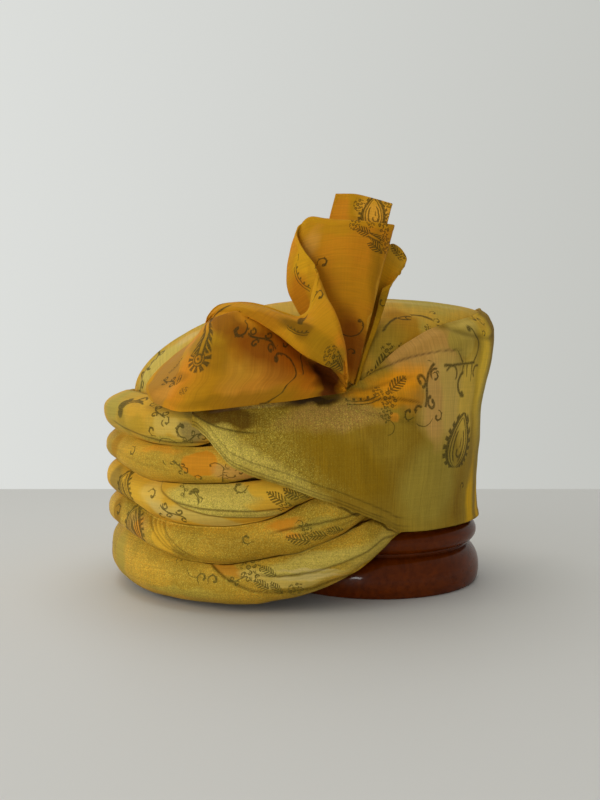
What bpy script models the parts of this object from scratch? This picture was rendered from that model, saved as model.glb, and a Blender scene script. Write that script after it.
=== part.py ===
"""Tied turban (pagri) resting on a plain turned wooden stand.

Frame: origin at the centre of the stand's flat foot, +X to the plain wrapped
end, -X to the rolled end, -Y to the side that carries the pleated fan, +Z up.
Every table is in millimetres and degrees; MM turns it into metres.

An azimuth runs round the oval plan: 180 is the rolled end (-X), -90 the side
with the fan (-Y), 0 the wrapped end (+X).  An offset d is measured along the
plan outline's normal, 0 at the fattest part of the rolls, negative inwards.
"""
import math

import bpy
import numpy as np

for old in list(bpy.data.objects):
    bpy.data.objects.remove(old, do_unlink=True)

MM = 0.001

# ------------------------------------------------------------- main dimensions
PLAN_CENTRE_X = -85.0      # where the oval plan is widest
PLAN_LEFT = 120.0          # half length towards the rolled end
PLAN_RIGHT = 174.0         # half length towards the wrapped end
PLAN_HALF_WIDTH = 118.0

STAND_HEIGHT = 45.0
STAND_RADIUS = 81.0        # lower moulding
STAND_UPPER_RADIUS = 79.0  # upper moulding
STAND_GROOVE_RADIUS = 75.5
STAND_GROOVE_HEIGHT = 28.0
STAND_BELLY = 10.0         # height at which the lower moulding is widest

CAP_WALL = 4.5             # wound layers of the inner cap
CAP_TOP = 210.0
CAP_APEX_X = -25.0
WRAP_WALL = 2.2
ROLL_FACE = -0.4           # the rolls' outermost offset
CLOTH_GAP = 1.2            # left between neighbouring layers
ROLL_GAP = 0.6             # left between neighbouring rolls
RIM_TUCK = 9.0             # how far the wrapped end draws in at its lower rim
RIM_HEIGHT = 47.0
TUCK_HEIGHT = 62.0         # over which it flares out again
WAIST = 9.5                # how far the wrapped end draws in at half height
FAN_CLOTH = 1.3            # one folded layer of the fan

# seams between the rolls: heights by azimuth, the same on both long sides.
# seam0 is the upper edge of roll 1, seam5 the underside of roll 5
SEAMS = (
    # azimuth seam0  seam1  seam2  seam3  seam4  seam5
    (180, 141.0, 112.0, 90.0, 66.0, 43.0, 5.0),
    (157, 141.0, 112.0, 90.0, 67.0, 44.0, 4.0),
    (140, 139.0, 109.5, 85.0, 63.5, 41.0, 3.5),
    (125, 136.0, 106.5, 81.5, 57.0, 35.0, 4.0),
    (110, 134.0, 106.0, 82.0, 55.0, 31.5, 4.3),
    (100, 133.5, 108.0, 83.0, 55.5, 31.0, 4.5),
    (90, 134.0, 110.0, 85.0, 58.0, 34.0, 5.4),
    (84, 135.0, 112.0, 87.0, 63.0, 37.0, 8.2),
    (80, 136.0, 114.0, 88.0, 69.0, 38.5, 10.0),
    (76, 137.0, 115.0, 89.0, 74.0, 43.0, 13.0),
    (70, 138.0, 116.0, 92.0, 78.0, 49.0, 19.0),
    (64, 139.0, 118.0, 95.0, 80.0, 57.0, 27.0),
    (58, 140.0, 120.0, 98.0, 82.0, 60.0, 36.0),
    (52, 140.0, 120.0, 98.0, 82.0, 60.0, 45.0),
)

# each roll: where its ends tuck under the wrap, and how deep its upper and
# lower shoulders fall back from the fattest line
ROLLS = (
    # name  front_end back_end upper_fall lower_fall
    ("roll_1", -99, 99, 17.0, 8.0),
    ("roll_2", -85, 86, 7.0, 8.0),
    ("roll_3", -73, 75, 7.0, 8.0),
    ("roll_4", -61, 63, 7.0, 8.0),
    ("roll_5", -53, 55, 7.0, 12.0),
)
ROLL_SECTION = 7           # points round a roll's outer face
ROLL_STEP = 6              # degrees between sections

# the inner cap: outer face offset, lower edge, spring line of the dome and
# how boxy the dome is, by azimuth
CAP = (
    # azimuth offset lower_edge spring boxiness
    (180, -25.0, 12.0, 140.0, 1.72),
    (157, -25.0, 12.0, 140.0, 1.72),
    (140, -25.0, 9.0, 138.0, 1.71),
    (125, -25.0, 8.0, 135.0, 1.70),
    (110, -25.0, 8.0, 133.0, 1.71),
    (100, -24.0, 10.0, 133.0, 1.72),
    (90, -22.0, 14.0, 134.0, 1.74),
    (80, -19.0, 24.0, 136.0, 1.80),
    (72, -16.5, 36.0, 139.0, 1.90),
    (66, -14.5, 45.4, 144.0, 1.95),
    (60, -12.5, 45.4, 155.0, 2.00),
    (50, -9.5, 45.4, 171.0, 2.00),
    (40, -7.5, 45.4, 181.0, 2.10),
    (20, -6.5, 45.4, 192.0, 2.20),
    (0, -6.5, 45.4, 196.0, 2.30),
)
CAP_STEP = 6               # degrees between sections near the wrapped end, twice that elsewhere
CAP_WALL_RINGS = 3
CAP_DOME_RINGS = (0.96, 0.86, 0.72, 0.54, 0.30)

# the wrap by azimuth: its lower and upper edge, their offsets, and the depth
# of the upper zone that leans in against the dome
WRAP_MIDDLE = (
    # azimuth lower upper lower_offset upper_offset lean_depth
    (87, 86.0, 135.5, 2.4, -4.0, 38.0),
    (82, 81.0, 136.5, 2.4, -5.5, 38.0),
    (76, 74.0, 138.0, 2.4, -6.5, 38.0),
    (72, 70.0, 139.5, 2.4, -7.0, 38.0),
    (68, 65.0, 143.0, 2.4, -7.0, 38.0),
    (64, 60.0, 150.0, 2.4, -6.5, 38.0),
    (60, 55.0, 160.0, 2.4, -5.5, 38.0),
    (56, 49.8, 169.0, 2.4, -4.5, 32.0),
    (52, 48.0, 175.0, 2.4, -4.0, 26.0),
    (46, 47.5, 182.5, 2.4, -3.5, 20.0),
    (40, 47.5, 187.0, 2.4, -3.0, 17.0),
    (30, 47.5, 191.5, 2.4, -3.0, 16.0),
    (20, 47.5, 196.0, 2.4, -3.0, 16.0),
    (10, 47.5, 201.0, 2.4, -3.0, 16.0),
    (0, 47.5, 203.0, 2.4, -3.0, 16.0),
)
WRAP_FRONT = (             # gathered end, under the fan's flap
    (108, 119.5, 128.0, 2.4, 2.0, 10.0),
    (104, 114.0, 130.0, 2.4, 1.5, 16.0),
    (100, 104.0, 132.0, 2.4, 0.5, 24.0),
    (96, 95.0, 133.5, 2.4, -1.0, 32.0),
    (92, 91.0, 134.5, 2.4, -2.5, 38.0),
) + WRAP_MIDDLE
WRAP_BACK = (              # end tucked into the valley above roll 1
    (118, 135.5, 142.0, -8.0, -19.0, 6.5),
    (112, 131.0, 141.0, -2.0, -16.0, 9.5),
    (106, 122.0, 140.0, 2.4, -12.0, 11.0),
    (100, 108.0, 138.5, 2.4, -8.0, 12.0),
    (94, 96.0, 137.0, 2.4, -5.0, 24.0),
) + WRAP_MIDDLE
WRAP_STEP = 4.5
WRAP_ROWS = 7

# the fan of the cloth's end: each row is one fold or edge line, from the
# pinch at the wrap's upper edge out to the free end; sheets are lofted
# through their rows
FAN = {
    "turra_flap": (
        # line            lower edge         middle             upper edge
        ("at_pinch", (-33, -116, 141), (-32, -115, 145), (-30, -112, 149)),
        ("inner", (-50, -121, 137), (-49, -118, 149), (-51, -107, 161)),
        ("hollow", (-70, -125, 135), (-70, -125, 155), (-70, -108, 177)),
        ("belly", (-91, -127, 133), (-90, -130, 160), (-87, -109, 187)),
        ("shoulder", (-112, -125, 131), (-108, -131, 161), (-102, -106, 194)),
        ("ridge", (-133, -118, 129), (-123, -123, 159), (-114, -97, 195)),
        ("side_face", (-142, -109, 131), (-137, -101, 151), (-123, -80, 188)),
        ("on_crown", (-153, -97, 135), (-156, -73, 156), (-127, -57, 182)),
    ),
    "turra_ruffle": (
        # fold              pinch           one third          two thirds          rim
        ("under_fold", (-29, -115, 152), (-52, -122, 164), (-75, -124, 181), (-101, -112, 194)),
        ("face_left", (-28, -118, 154), (-44, -128, 168), (-60, -126, 180), (-75, -115, 193)),
        ("face_right", (-27, -119, 155), (-37, -129, 172), (-46, -126, 184), (-55, -114, 188)),
        ("lip_fold", (-26, -117, 157), (-31, -126, 172), (-37, -121, 197), (-45, -113, 215)),
        ("lip_inside", (-27, -113, 158), (-37, -114, 176), (-50, -104, 196), (-46, -104, 222)),
        ("lip_top", (-29, -110, 158), (-41, -103, 176), (-57, -95, 206), (-56, -91, 239)),
        ("back_turn", (-33, -109, 158), (-46, -99, 172), (-61, -89, 198), (-66, -83, 228)),
        ("back_edge", (-35, -108, 157), (-46, -98, 168), (-56, -89, 183), (-66, -81, 200)),
    ),
    "turra_panel": (
        ("left_edge", (-27, -108, 147), (-31, -104, 181), (-41, -97, 216), (-54, -86, 252)),
        ("left_mid", (-25, -109, 146), (-27, -108, 180), (-32, -103, 218), (-41, -88, 256)),
        ("right_mid", (-23, -109, 145), (-20, -109, 180), (-19, -103, 216), (-17, -87, 254)),
        ("right_fold", (-21, -108, 144), (-12, -105, 182), (-1, -95, 225), (6, -82, 251)),
    ),
    "turra_tip": (
        ("left_edge", (-26, -103, 148), (-28, -98, 181), (-33, -85, 228), (-31, -68, 275)),
        ("middle", (-23, -103, 147), (-21, -99, 181), (-17, -88, 226), (-10, -70, 272)),
        ("right_edge", (-20, -103, 147), (-14, -98, 181), (-2, -85, 227), (8, -67, 268)),
    ),
    "turra_back_pleat": (
        ("left_edge", (-20, -99, 152), (-12, -91, 181), (-6, -80, 222), (2, -72, 243)),
        ("middle", (-18, -99, 151), (-8, -90, 178), (3, -75, 216), (11, -65, 241)),
        ("right_edge", (-15, -98, 150), (-5, -85, 175), (4, -68, 206), (18, -55, 231)),
    ),
}
FAN_ACROSS = 3             # faces between two fold lines
FAN_ALONG = 8              # faces along a fold line

# turned stand: radius and height down the outer side
STAND_PROFILE_STEPS = 6    # points round each moulding
STAND_SIDES = 48

COLOURS = {
    # name: colour (linear), roughness, metallic
    "stand_base": ((0.12, 0.022, 0.010), 0.22, 0.0),
    "crown_cap": ((0.50, 0.36, 0.12), 0.70, 0.0),
    "roll_1": ((0.42, 0.30, 0.05), 0.55, 0.1),
    "roll_2": ((0.45, 0.25, 0.03), 0.55, 0.1),
    "roll_3": ((0.42, 0.33, 0.07), 0.55, 0.1),
    "roll_4": ((0.43, 0.26, 0.04), 0.55, 0.1),
    "roll_5": ((0.43, 0.35, 0.08), 0.50, 0.2),
    "cross_wrap": ((0.33, 0.24, 0.05), 0.45, 0.3),
    "turra_panel": ((0.48, 0.22, 0.03), 0.65, 0.0),
    "turra_tip": ((0.58, 0.26, 0.03), 0.65, 0.0),
    "turra_back_pleat": ((0.52, 0.30, 0.04), 0.65, 0.0),
    "turra_ruffle": ((0.60, 0.36, 0.04), 0.65, 0.0),
    "turra_flap": ((0.45, 0.23, 0.03), 0.65, 0.0),
}

parts = bpy.data.collections.new("tied_turban_pagri")
bpy.context.scene.collection.children.link(parts)


# ------------------------------------------------------------------- helpers
def smooth_lookup(table, column, azimuth):
    """Read a column of a table at an azimuth on a smooth curve that never
    overshoots its rows (monotone cubic)."""
    rows = sorted((abs(r[0]), r[column]) for r in table)
    x = np.array([r[0] for r in rows], float)
    y = np.array([r[1] for r in rows], float)
    a = min(max(abs(azimuth), x[0]), x[-1])
    step = np.diff(x)
    slope = np.diff(y) / step
    tangent = np.zeros(len(x))
    for i in range(1, len(x) - 1):
        if slope[i - 1] * slope[i] > 0:
            tangent[i] = 2 * slope[i - 1] * slope[i] / (slope[i - 1] + slope[i])
    i = min(int(np.searchsorted(x, a, side="right")) - 1, len(step) - 1)
    t = (a - x[i]) / step[i]
    return ((2 * t ** 3 - 3 * t ** 2 + 1) * y[i]
            + (t ** 3 - 2 * t ** 2 + t) * step[i] * tangent[i]
            + (3 * t ** 2 - 2 * t ** 3) * y[i + 1]
            + (t ** 3 - t ** 2) * step[i] * tangent[i + 1])


def smoothstep(low, high, value):
    t = min(max((value - low) / (high - low), 0.0), 1.0)
    return t * t * (3 - 2 * t)


def plan_point(azimuth, offset):
    """A point of the oval plan, pushed along its normal by the offset."""
    p = math.radians(azimuth)
    half = PLAN_LEFT if math.cos(p) < 0 else PLAN_RIGHT
    nx, ny = math.cos(p) / half, math.sin(p) / PLAN_HALF_WIDTH
    length = math.hypot(nx, ny)
    return (PLAN_CENTRE_X + half * math.cos(p) + offset * nx / length,
            PLAN_HALF_WIDTH * math.sin(p) + offset * ny / length)


def tuck(azimuth, height):
    """How far the wrapped end draws in near its lower rim and at its waist."""
    near_end = 1.0 - smoothstep(54.0, 67.0, abs(azimuth))
    low = 1.0 - smoothstep(RIM_HEIGHT, RIM_HEIGHT + TUCK_HEIGHT, height)
    at_end = 1.0 - smoothstep(12.0, 60.0, abs(azimuth))
    halfway = smoothstep(30.0, 100.0, height) * (1.0 - smoothstep(120.0, 178.0, height))
    return -RIM_TUCK * near_end * low - WAIST * at_end * halfway


def clear_of_stand(azimuth, offset, clearance):
    """The deepest offset that still stays outside the stand."""
    while math.hypot(*plan_point(azimuth, offset)) < STAND_RADIUS + clearance:
        offset += 0.25
    return offset


def stations(first, last, step):
    count = max(int(round(abs(last - first) / step)), 2)
    return [first + (last - first) * i / count for i in range(count + 1)]


def material(name):
    colour, roughness, metallic = COLOURS[name]
    mat = bpy.data.materials.new(name + "_material")
    mat.use_nodes = True
    shader = mat.node_tree.nodes["Principled BSDF"]
    shader.inputs["Base Color"].default_value = (*colour, 1.0)
    shader.inputs["Roughness"].default_value = roughness
    shader.inputs["Metallic"].default_value = metallic
    return mat


def make_object(name, points, faces, smooth=True):
    mesh = bpy.data.meshes.new(name)
    mesh.from_pydata([(x * MM, y * MM, z * MM) for x, y, z in points], [], faces)
    mesh.validate()
    if smooth:
        mesh.shade_smooth()
    obj = bpy.data.objects.new(name, mesh)
    obj.data.materials.append(material(name))
    parts.objects.link(obj)
    return obj


def grid_faces(rows, columns, closed_rows=False):
    """Quads of a grid whose points run column by column within each row."""
    faces = []
    for i in range(rows if closed_rows else rows - 1):
        j = (i + 1) % rows
        for k in range(columns - 1):
            faces.append((i * columns + k, j * columns + k,
                          j * columns + k + 1, i * columns + k + 1))
    return faces


def thicken(obj, thickness, offset):
    mod = obj.modifiers.new("cloth", "SOLIDIFY")
    mod.thickness = thickness * MM
    mod.offset = offset
    mod.use_even_offset = True
    return mod


def through(points, t):
    """A smooth curve through the points, t from 0 to 1 (Catmull-Rom)."""
    p = [np.array(q, float) for q in points]
    p = [2 * p[0] - p[1]] + p + [2 * p[-1] - p[-2]]
    spans = len(p) - 3
    i = min(int(t * spans), spans - 1)
    u = t * spans - i
    a, b, c, d = p[i:i + 4]
    return 0.5 * (2 * b + (c - a) * u + (2 * a - 5 * b + 4 * c - d) * u ** 2
                  + (3 * b - a - 3 * c + d) * u ** 3)


# --------------------------------------------------------------------- stand
def moulding(radius, low, high, depth, belly=None, foot_depth=None):
    """Rounded moulding from its top edge to its bottom edge. It is widest at the belly,
    and falls back by depth above it and by foot_depth below it."""
    belly = (low + high) / 2 if belly is None else belly
    foot_depth = depth if foot_depth is None else foot_depth
    out = []
    for i in range(STAND_PROFILE_STEPS + 1):
        a = math.pi / 2 - math.pi * i / STAND_PROFILE_STEPS
        back, reach = (depth, high - belly) if a > 0 else (foot_depth, belly - low)
        out.append((radius - back * (1.0 - math.cos(a)), belly + reach * math.sin(a)))
    return out


def build_stand():
    groove = STAND_GROOVE_HEIGHT
    profile = [(0.0, STAND_HEIGHT)]
    profile += moulding(STAND_UPPER_RADIUS, groove + 1.0, STAND_HEIGHT, 8.0)
    profile += [(STAND_GROOVE_RADIUS - 4.5, groove)]
    profile += moulding(STAND_RADIUS, 0.0, groove - 1.0, 11.0, STAND_BELLY, 3.0)
    profile += [(0.0, 0.0)]
    mesh = bpy.data.meshes.new("stand_base")
    mesh.from_pydata([(r * MM, 0.0, z * MM) for r, z in profile],
                     [(i, i + 1) for i in range(len(profile) - 1)], [])
    obj = bpy.data.objects.new("stand_base", mesh)
    obj.data.materials.append(material("stand_base"))
    parts.objects.link(obj)
    turn = obj.modifiers.new("turned", "SCREW")
    turn.axis = "Z"
    turn.steps = STAND_SIDES
    turn.render_steps = STAND_SIDES
    turn.use_merge_vertices = True
    turn.merge_threshold = 0.00002
    turn.use_smooth_shade = True


# ----------------------------------------------------------------- inner cap
def cap_face(azimuth, height):
    return smooth_lookup(CAP, 1, azimuth) + tuck(azimuth, height)


def build_cap():
    """Wall from the lower edge to the spring line, then the dome, as one open
    surface that is thickened inwards."""
    azimuths = [a for a in range(-180, 180, CAP_STEP)
                if abs(a) <= 96 or a % (2 * CAP_STEP) == 0]
    rings = []
    for level in range(CAP_WALL_RINGS):
        ring = []
        for a in azimuths:
            low, spring = smooth_lookup(CAP, 2, a), smooth_lookup(CAP, 3, a)
            z = low + (spring - low) * level / (CAP_WALL_RINGS - 1)
            ring.append((*plan_point(a, cap_face(a, z)), z))
        rings.append(ring)
    for share in CAP_DOME_RINGS:
        ring = []
        for a in azimuths:
            spring = smooth_lookup(CAP, 3, a)
            boxy = smooth_lookup(CAP, 4, a)
            x, y = plan_point(a, cap_face(a, spring))
            rise = (1.0 - share ** 2) ** (1.0 / boxy)
            ring.append((CAP_APEX_X + share * (x - CAP_APEX_X), share * y,
                         spring + (CAP_TOP - spring) * rise))
        rings.append(ring)
    n = len(azimuths)
    points = [p for ring in rings for p in ring] + [(CAP_APEX_X, 0.0, CAP_TOP)]
    faces = []
    for r in range(len(rings) - 1):
        for k in range(n):
            j = (k + 1) % n
            faces.append((r * n + k, r * n + j, (r + 1) * n + j, (r + 1) * n + k))
    last = (len(rings) - 1) * n
    faces += [(last + k, last + (k + 1) % n, len(points) - 1) for k in range(n)]
    obj = make_object("crown_cap", points, faces)
    thicken(obj, CAP_WALL, -1.0)


# --------------------------------------------------------------------- rolls
def roll_section(index, azimuth, fullness):
    """One closed section of a roll: flat inner side, bulging outer side.
    fullness shrinks it towards its tucked ends."""
    name, front, back, upper_fall, lower_fall = ROLLS[index]
    top = smooth_lookup(SEAMS, index + 1, azimuth) - ROLL_GAP / 2
    low = smooth_lookup(SEAMS, index + 2, azimuth) + ROLL_GAP / 2
    middle, half = (top + low) / 2, (top - low) / 2 * (0.6 + 0.4 * fullness)
    inner = max(cap_face(azimuth, low), cap_face(azimuth, top)) + CLOTH_GAP
    if low < STAND_HEIGHT + 1.0:
        inner = clear_of_stand(azimuth, inner, CLOTH_GAP)
    outer = ROLL_FACE + tuck(azimuth, middle) - 1.5 * (1.0 - fullness)
    outer = max(outer, inner + 2.0)
    depth = outer - inner
    section = []
    for i in range(ROLL_SECTION):
        s = math.cos(math.pi * i / (ROLL_SECTION - 1))          # 1 top, -1 bottom
        fall = (upper_fall if s > 0 else lower_fall) * abs(s) ** 2.6
        offset = outer - min(fall, depth * 0.8)
        section.append((*plan_point(azimuth, offset), middle + s * half))
    for s in (-0.985, 0.985):
        section.append((*plan_point(azimuth, inner), middle + s * half))
    return section


def build_roll(index):
    name, front, back, upper_fall, lower_fall = ROLLS[index]
    # from the front end, round the rolled end, to the back end
    turn = [a for a in range(0, -361, -ROLL_STEP)
            if back - 360 + 2 < a < front - 2]
    turn = [front] + turn + [back - 360]
    sections = []
    for a in turn:
        wrapped = a if a >= -180.0 else a + 360.0
        from_end = min(abs(a - turn[0]), abs(a - turn[-1]))
        fullness = math.sqrt(smoothstep(-3.0, 14.0, from_end))
        sections.append(roll_section(index, wrapped, fullness))
    n = len(sections[0])
    points = [p for s in sections for p in s]
    faces = []
    for i in range(len(sections) - 1):
        for k in range(n):
            j = (k + 1) % n
            faces.append((i * n + k, (i + 1) * n + k, (i + 1) * n + j, i * n + j))
    faces.append(tuple(range(n)))
    faces.append(tuple((len(sections) - 1) * n + k for k in reversed(range(n))))
    make_object(name, points, faces)


# ---------------------------------------------------------------------- wrap
def build_wrap():
    points = []
    turn = stations(-WRAP_FRONT[0][0], WRAP_BACK[0][0], WRAP_STEP)
    for a in turn:
        table = WRAP_FRONT if a < 0 else WRAP_BACK
        low, high, foot, top, depth = (smooth_lookup(table, c, a) for c in range(1, 6))
        for r in range(WRAP_ROWS):
            z = low + (high - low) * r / (WRAP_ROWS - 1)
            leaning = smoothstep(0.0, depth, z - high + depth)
            points.append((*plan_point(a, foot + tuck(a, z) + (top - foot) * leaning), z))
    obj = make_object("cross_wrap", points, grid_faces(len(turn), WRAP_ROWS))
    thicken(obj, WRAP_WALL, -1.0)


# ----------------------------------------------------------------------- fan
def build_fan_sheet(name):
    lines = [row[1:] for row in FAN[name]]
    across = FAN_ACROSS * (len(lines) - 1)
    points = []
    for i in range(across + 1):
        for k in range(FAN_ALONG + 1):
            column = [through(line, k / FAN_ALONG) for line in lines]
            points.append(tuple(through(column, i / across)))
    obj = make_object(name, points, grid_faces(across + 1, FAN_ALONG + 1))
    thicken(obj, FAN_CLOTH, 0.0)


build_stand()
build_cap()
for number in range(len(ROLLS)):
    build_roll(number)
build_wrap()
for sheet in FAN:
    build_fan_sheet(sheet)
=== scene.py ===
import math

import bpy
import numpy as np
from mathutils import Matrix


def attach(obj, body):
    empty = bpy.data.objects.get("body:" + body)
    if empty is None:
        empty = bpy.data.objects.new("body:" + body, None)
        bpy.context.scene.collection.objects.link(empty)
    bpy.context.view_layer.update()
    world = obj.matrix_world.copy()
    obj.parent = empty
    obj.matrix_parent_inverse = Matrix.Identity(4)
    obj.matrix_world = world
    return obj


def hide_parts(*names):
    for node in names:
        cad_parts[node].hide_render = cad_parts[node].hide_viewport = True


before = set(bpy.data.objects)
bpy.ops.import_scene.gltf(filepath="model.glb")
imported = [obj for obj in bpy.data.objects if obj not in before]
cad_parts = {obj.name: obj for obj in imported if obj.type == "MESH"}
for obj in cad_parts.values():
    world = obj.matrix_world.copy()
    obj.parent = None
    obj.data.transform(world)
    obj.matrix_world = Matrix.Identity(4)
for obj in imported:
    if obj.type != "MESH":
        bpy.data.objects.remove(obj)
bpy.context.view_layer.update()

MM = 0.001

# ============================================================ sizes of the frame
# The same named sizes and tables as the construction, in millimetres and degrees.
PLAN_CENTRE_X, PLAN_LEFT, PLAN_RIGHT, PLAN_HALF_WIDTH = -85.0, 120.0, 174.0, 118.0
STAND_HEIGHT, STAND_RADIUS, STAND_UPPER_RADIUS = 45.0, 81.0, 79.0
STAND_GROOVE_RADIUS, STAND_GROOVE_HEIGHT, STAND_BELLY = 71.0, 28.0, 10.0
CAP_WALL, CAP_TOP, CAP_APEX_X = 4.5, 210.0, -25.0
ROLL_FACE, CLOTH_GAP, ROLL_GAP = -0.4, 1.2, 0.6
RIM_TUCK, RIM_HEIGHT, TUCK_HEIGHT, WAIST = 9.0, 47.0, 62.0, 9.5

SEAMS = (
    # |azimuth|, height of the seam above roll 1, 2, 3, 4, 5 and below roll 5
    (180, 141, 112, 90, 66, 43, 5), (157, 141, 112, 90, 67, 44, 4),
    (140, 139, 109.5, 85, 63.5, 41, 3.5), (125, 136, 106.5, 81.5, 57, 35, 4),
    (110, 134, 106, 82, 55, 31.5, 4.3), (100, 133.5, 108, 83, 55.5, 31, 4.5),
    (90, 134, 110, 85, 58, 34, 5.4), (84, 135, 112, 87, 63, 37, 8.2),
    (80, 136, 114, 88, 69, 38.5, 10), (76, 137, 115, 89, 74, 43, 13),
    (70, 138, 116, 92, 78, 49, 19), (64, 139, 118, 95, 80, 57, 27),
    (58, 140, 120, 98, 82, 60, 36), (52, 140, 120, 98, 82, 60, 45),
)
ROLLS = (
    # name, front end, back end, fall of the upper and of the lower half,
    # how much further in it lies at the rolled end
    ("roll_1", -99.0, 99.0, 17.0, 8.0, -2.0),
    ("roll_2", -85.0, 86.0, 7.0, 8.0, -3.6),
    ("roll_3", -73.0, 75.0, 7.0, 8.0, -4.6),
    ("roll_4", -61.0, 63.0, 7.0, 8.0, -5.4),
    ("roll_5", -53.0, 55.0, 7.0, 12.0, -6.6),
)
CAP = (
    # |azimuth|, offset from the plan, lower edge, spring line, boxiness of the dome
    (180, -25, 12, 140, 1.72), (157, -25, 12, 140, 1.72), (140, -25, 9, 138, 1.71),
    (125, -25, 8, 135, 1.70), (110, -25, 8, 133, 1.71), (100, -24, 10, 133, 1.72),
    (90, -22, 14, 134, 1.74), (80, -19, 24, 136, 1.80), (72, -16.5, 36, 139, 1.90),
    (66, -14.5, 45.4, 144, 1.95), (60, -12.5, 45.4, 155, 2.00),
    (50, -9.5, 45.4, 171, 2.00), (40, -7.5, 45.4, 181, 2.10),
    (20, -6.5, 45.4, 192, 2.20), (0, -6.5, 45.4, 196, 2.30),
)
WRAP_MIDDLE = (
    # |azimuth|, lower edge, upper edge, offset of the lower and of the upper edge, lean
    (87, 86, 135.5, 2.4, -4, 38), (82, 81, 136.5, 2.4, -5.5, 38),
    (76, 74, 138, 2.4, -6.5, 38), (72, 70, 139.5, 2.4, -7, 38),
    (68, 65, 143, 2.4, -7, 38), (64, 60, 150, 2.4, -6.5, 38),
    (60, 55, 160, 2.4, -5.5, 38), (56, 49.8, 169, 2.4, -4.5, 32),
    (52, 48, 175, 2.4, -4, 26), (46, 47.5, 182.5, 2.4, -3.5, 20),
    (40, 47.5, 187, 2.4, -3, 17), (30, 47.5, 191.5, 2.4, -3, 16),
    (20, 47.5, 196, 2.4, -3, 16), (10, 47.5, 201, 2.4, -3, 16),
    (0, 47.5, 203, 2.4, -3, 16),
)
WRAP_FRONT = (
    (108, 119.5, 128, 2.4, 2, 10), (104, 114, 130, 2.4, 1.5, 16),
    (100, 104, 132, 2.4, 0.5, 24), (96, 95, 133.5, 2.4, -1, 32),
    (92, 91, 134.5, 2.4, -2.5, 38),
) + WRAP_MIDDLE
WRAP_BACK = (
    (118, 135.5, 142, -8, -19, 6.5), (112, 131, 141, -2, -16, 9.5),
    (106, 122, 140, 2.4, -12, 11), (100, 108, 138.5, 2.4, -8, 12),
    (94, 96, 137, 2.4, -5, 24),
) + WRAP_MIDDLE

# the camera: the photograph is 600 x 800, and its focal length is 800 of its pixels
CAMERA_AT = (-55.0, -615.0, 152.0)
CAMERA_DIP = 1.8
FOCAL = 800.0


# ================================================================ plain helpers
def smoothstep(low, high, value):
    t = np.clip((np.asarray(value, float) - low) / (high - low), 0.0, 1.0)
    return t * t * (3 - 2 * t)


def curve(x, y, at):
    """A smooth line through the points (x, y) that never overshoots them."""
    x, y, at = np.asarray(x, float), np.asarray(y, float), np.asarray(at, float)
    order = np.argsort(x)
    x, y = x[order], y[order]
    a = np.clip(at, x[0], x[-1])
    step = np.diff(x)
    slope = np.diff(y) / step
    tangent = np.zeros(len(x))
    for i in range(1, len(x) - 1):
        if slope[i - 1] * slope[i] > 0:
            tangent[i] = 2 * slope[i - 1] * slope[i] / (slope[i - 1] + slope[i])
    i = np.clip(np.searchsorted(x, a, side="right") - 1, 0, len(step) - 1)
    t = (a - x[i]) / step[i]
    return ((2 * t ** 3 - 3 * t ** 2 + 1) * y[i] + (t ** 3 - 2 * t ** 2 + t) * step[i] * tangent[i]
            + (3 * t ** 2 - 2 * t ** 3) * y[i + 1] + (t ** 3 - t ** 2) * step[i] * tangent[i + 1])


def column(table, number, azimuth):
    return curve([abs(r[0]) for r in table], [r[number] for r in table], np.abs(azimuth))


def plan_point(azimuth, offset):
    """A point of the oval plan, pushed along its normal by the offset."""
    p = np.radians(azimuth)
    half = np.where(np.cos(p) < 0, PLAN_LEFT, PLAN_RIGHT)
    nx, ny = np.cos(p) / half, np.sin(p) / PLAN_HALF_WIDTH
    length = np.hypot(nx, ny)
    return (PLAN_CENTRE_X + half * np.cos(p) + offset * nx / length,
            PLAN_HALF_WIDTH * np.sin(p) + offset * ny / length)


def tuck(azimuth, height):
    near_end = 1.0 - smoothstep(54.0, 67.0, np.abs(azimuth))
    low = 1.0 - smoothstep(RIM_HEIGHT, RIM_HEIGHT + TUCK_HEIGHT, height)
    at_end = 1.0 - smoothstep(12.0, 60.0, np.abs(azimuth))
    halfway = smoothstep(30.0, 100.0, height) * (1.0 - smoothstep(120.0, 178.0, height))
    return -RIM_TUCK * near_end * low - WAIST * at_end * halfway


def cap_face(azimuth, height):
    return column(CAP, 1, azimuth) + tuck(azimuth, height)


_turn = np.linspace(-180.0, 180.0, 1441)
_px, _py = plan_point(_turn, 0.0)
_run = np.concatenate([[0.0], np.cumsum(np.hypot(np.diff(_px), np.diff(_py)))])


def run(azimuth):
    """Length along the plan, in millimetres from its left end; past 180 it goes on."""
    a = np.asarray(azimuth, float)
    turns = np.floor((a + 180.0) / 360.0)
    return np.interp(a - 360.0 * turns, _turn, _run) + turns * _run[-1]


def scatter(i, j, seed):
    """A fixed pseudo-random number from 0 to 1 for each whole (i, j)."""
    i = np.asarray(i, np.int64).astype(np.uint64)
    j = np.asarray(j, np.int64).astype(np.uint64)
    h = (i * np.uint64(0x9E3779B1) + j * np.uint64(0x85EBCA77)
         + np.uint64(seed * 0x27D4EB2F + 0x165667B1)) & np.uint64(0xFFFFFFFF)
    h ^= h >> np.uint64(15)
    h = (h * np.uint64(0x2C1B3C6D)) & np.uint64(0xFFFFFFFF)
    h ^= h >> np.uint64(12)
    h = (h * np.uint64(0x297A2D39)) & np.uint64(0xFFFFFFFF)
    h ^= h >> np.uint64(15)
    return h.astype(float) / 4294967296.0


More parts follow.
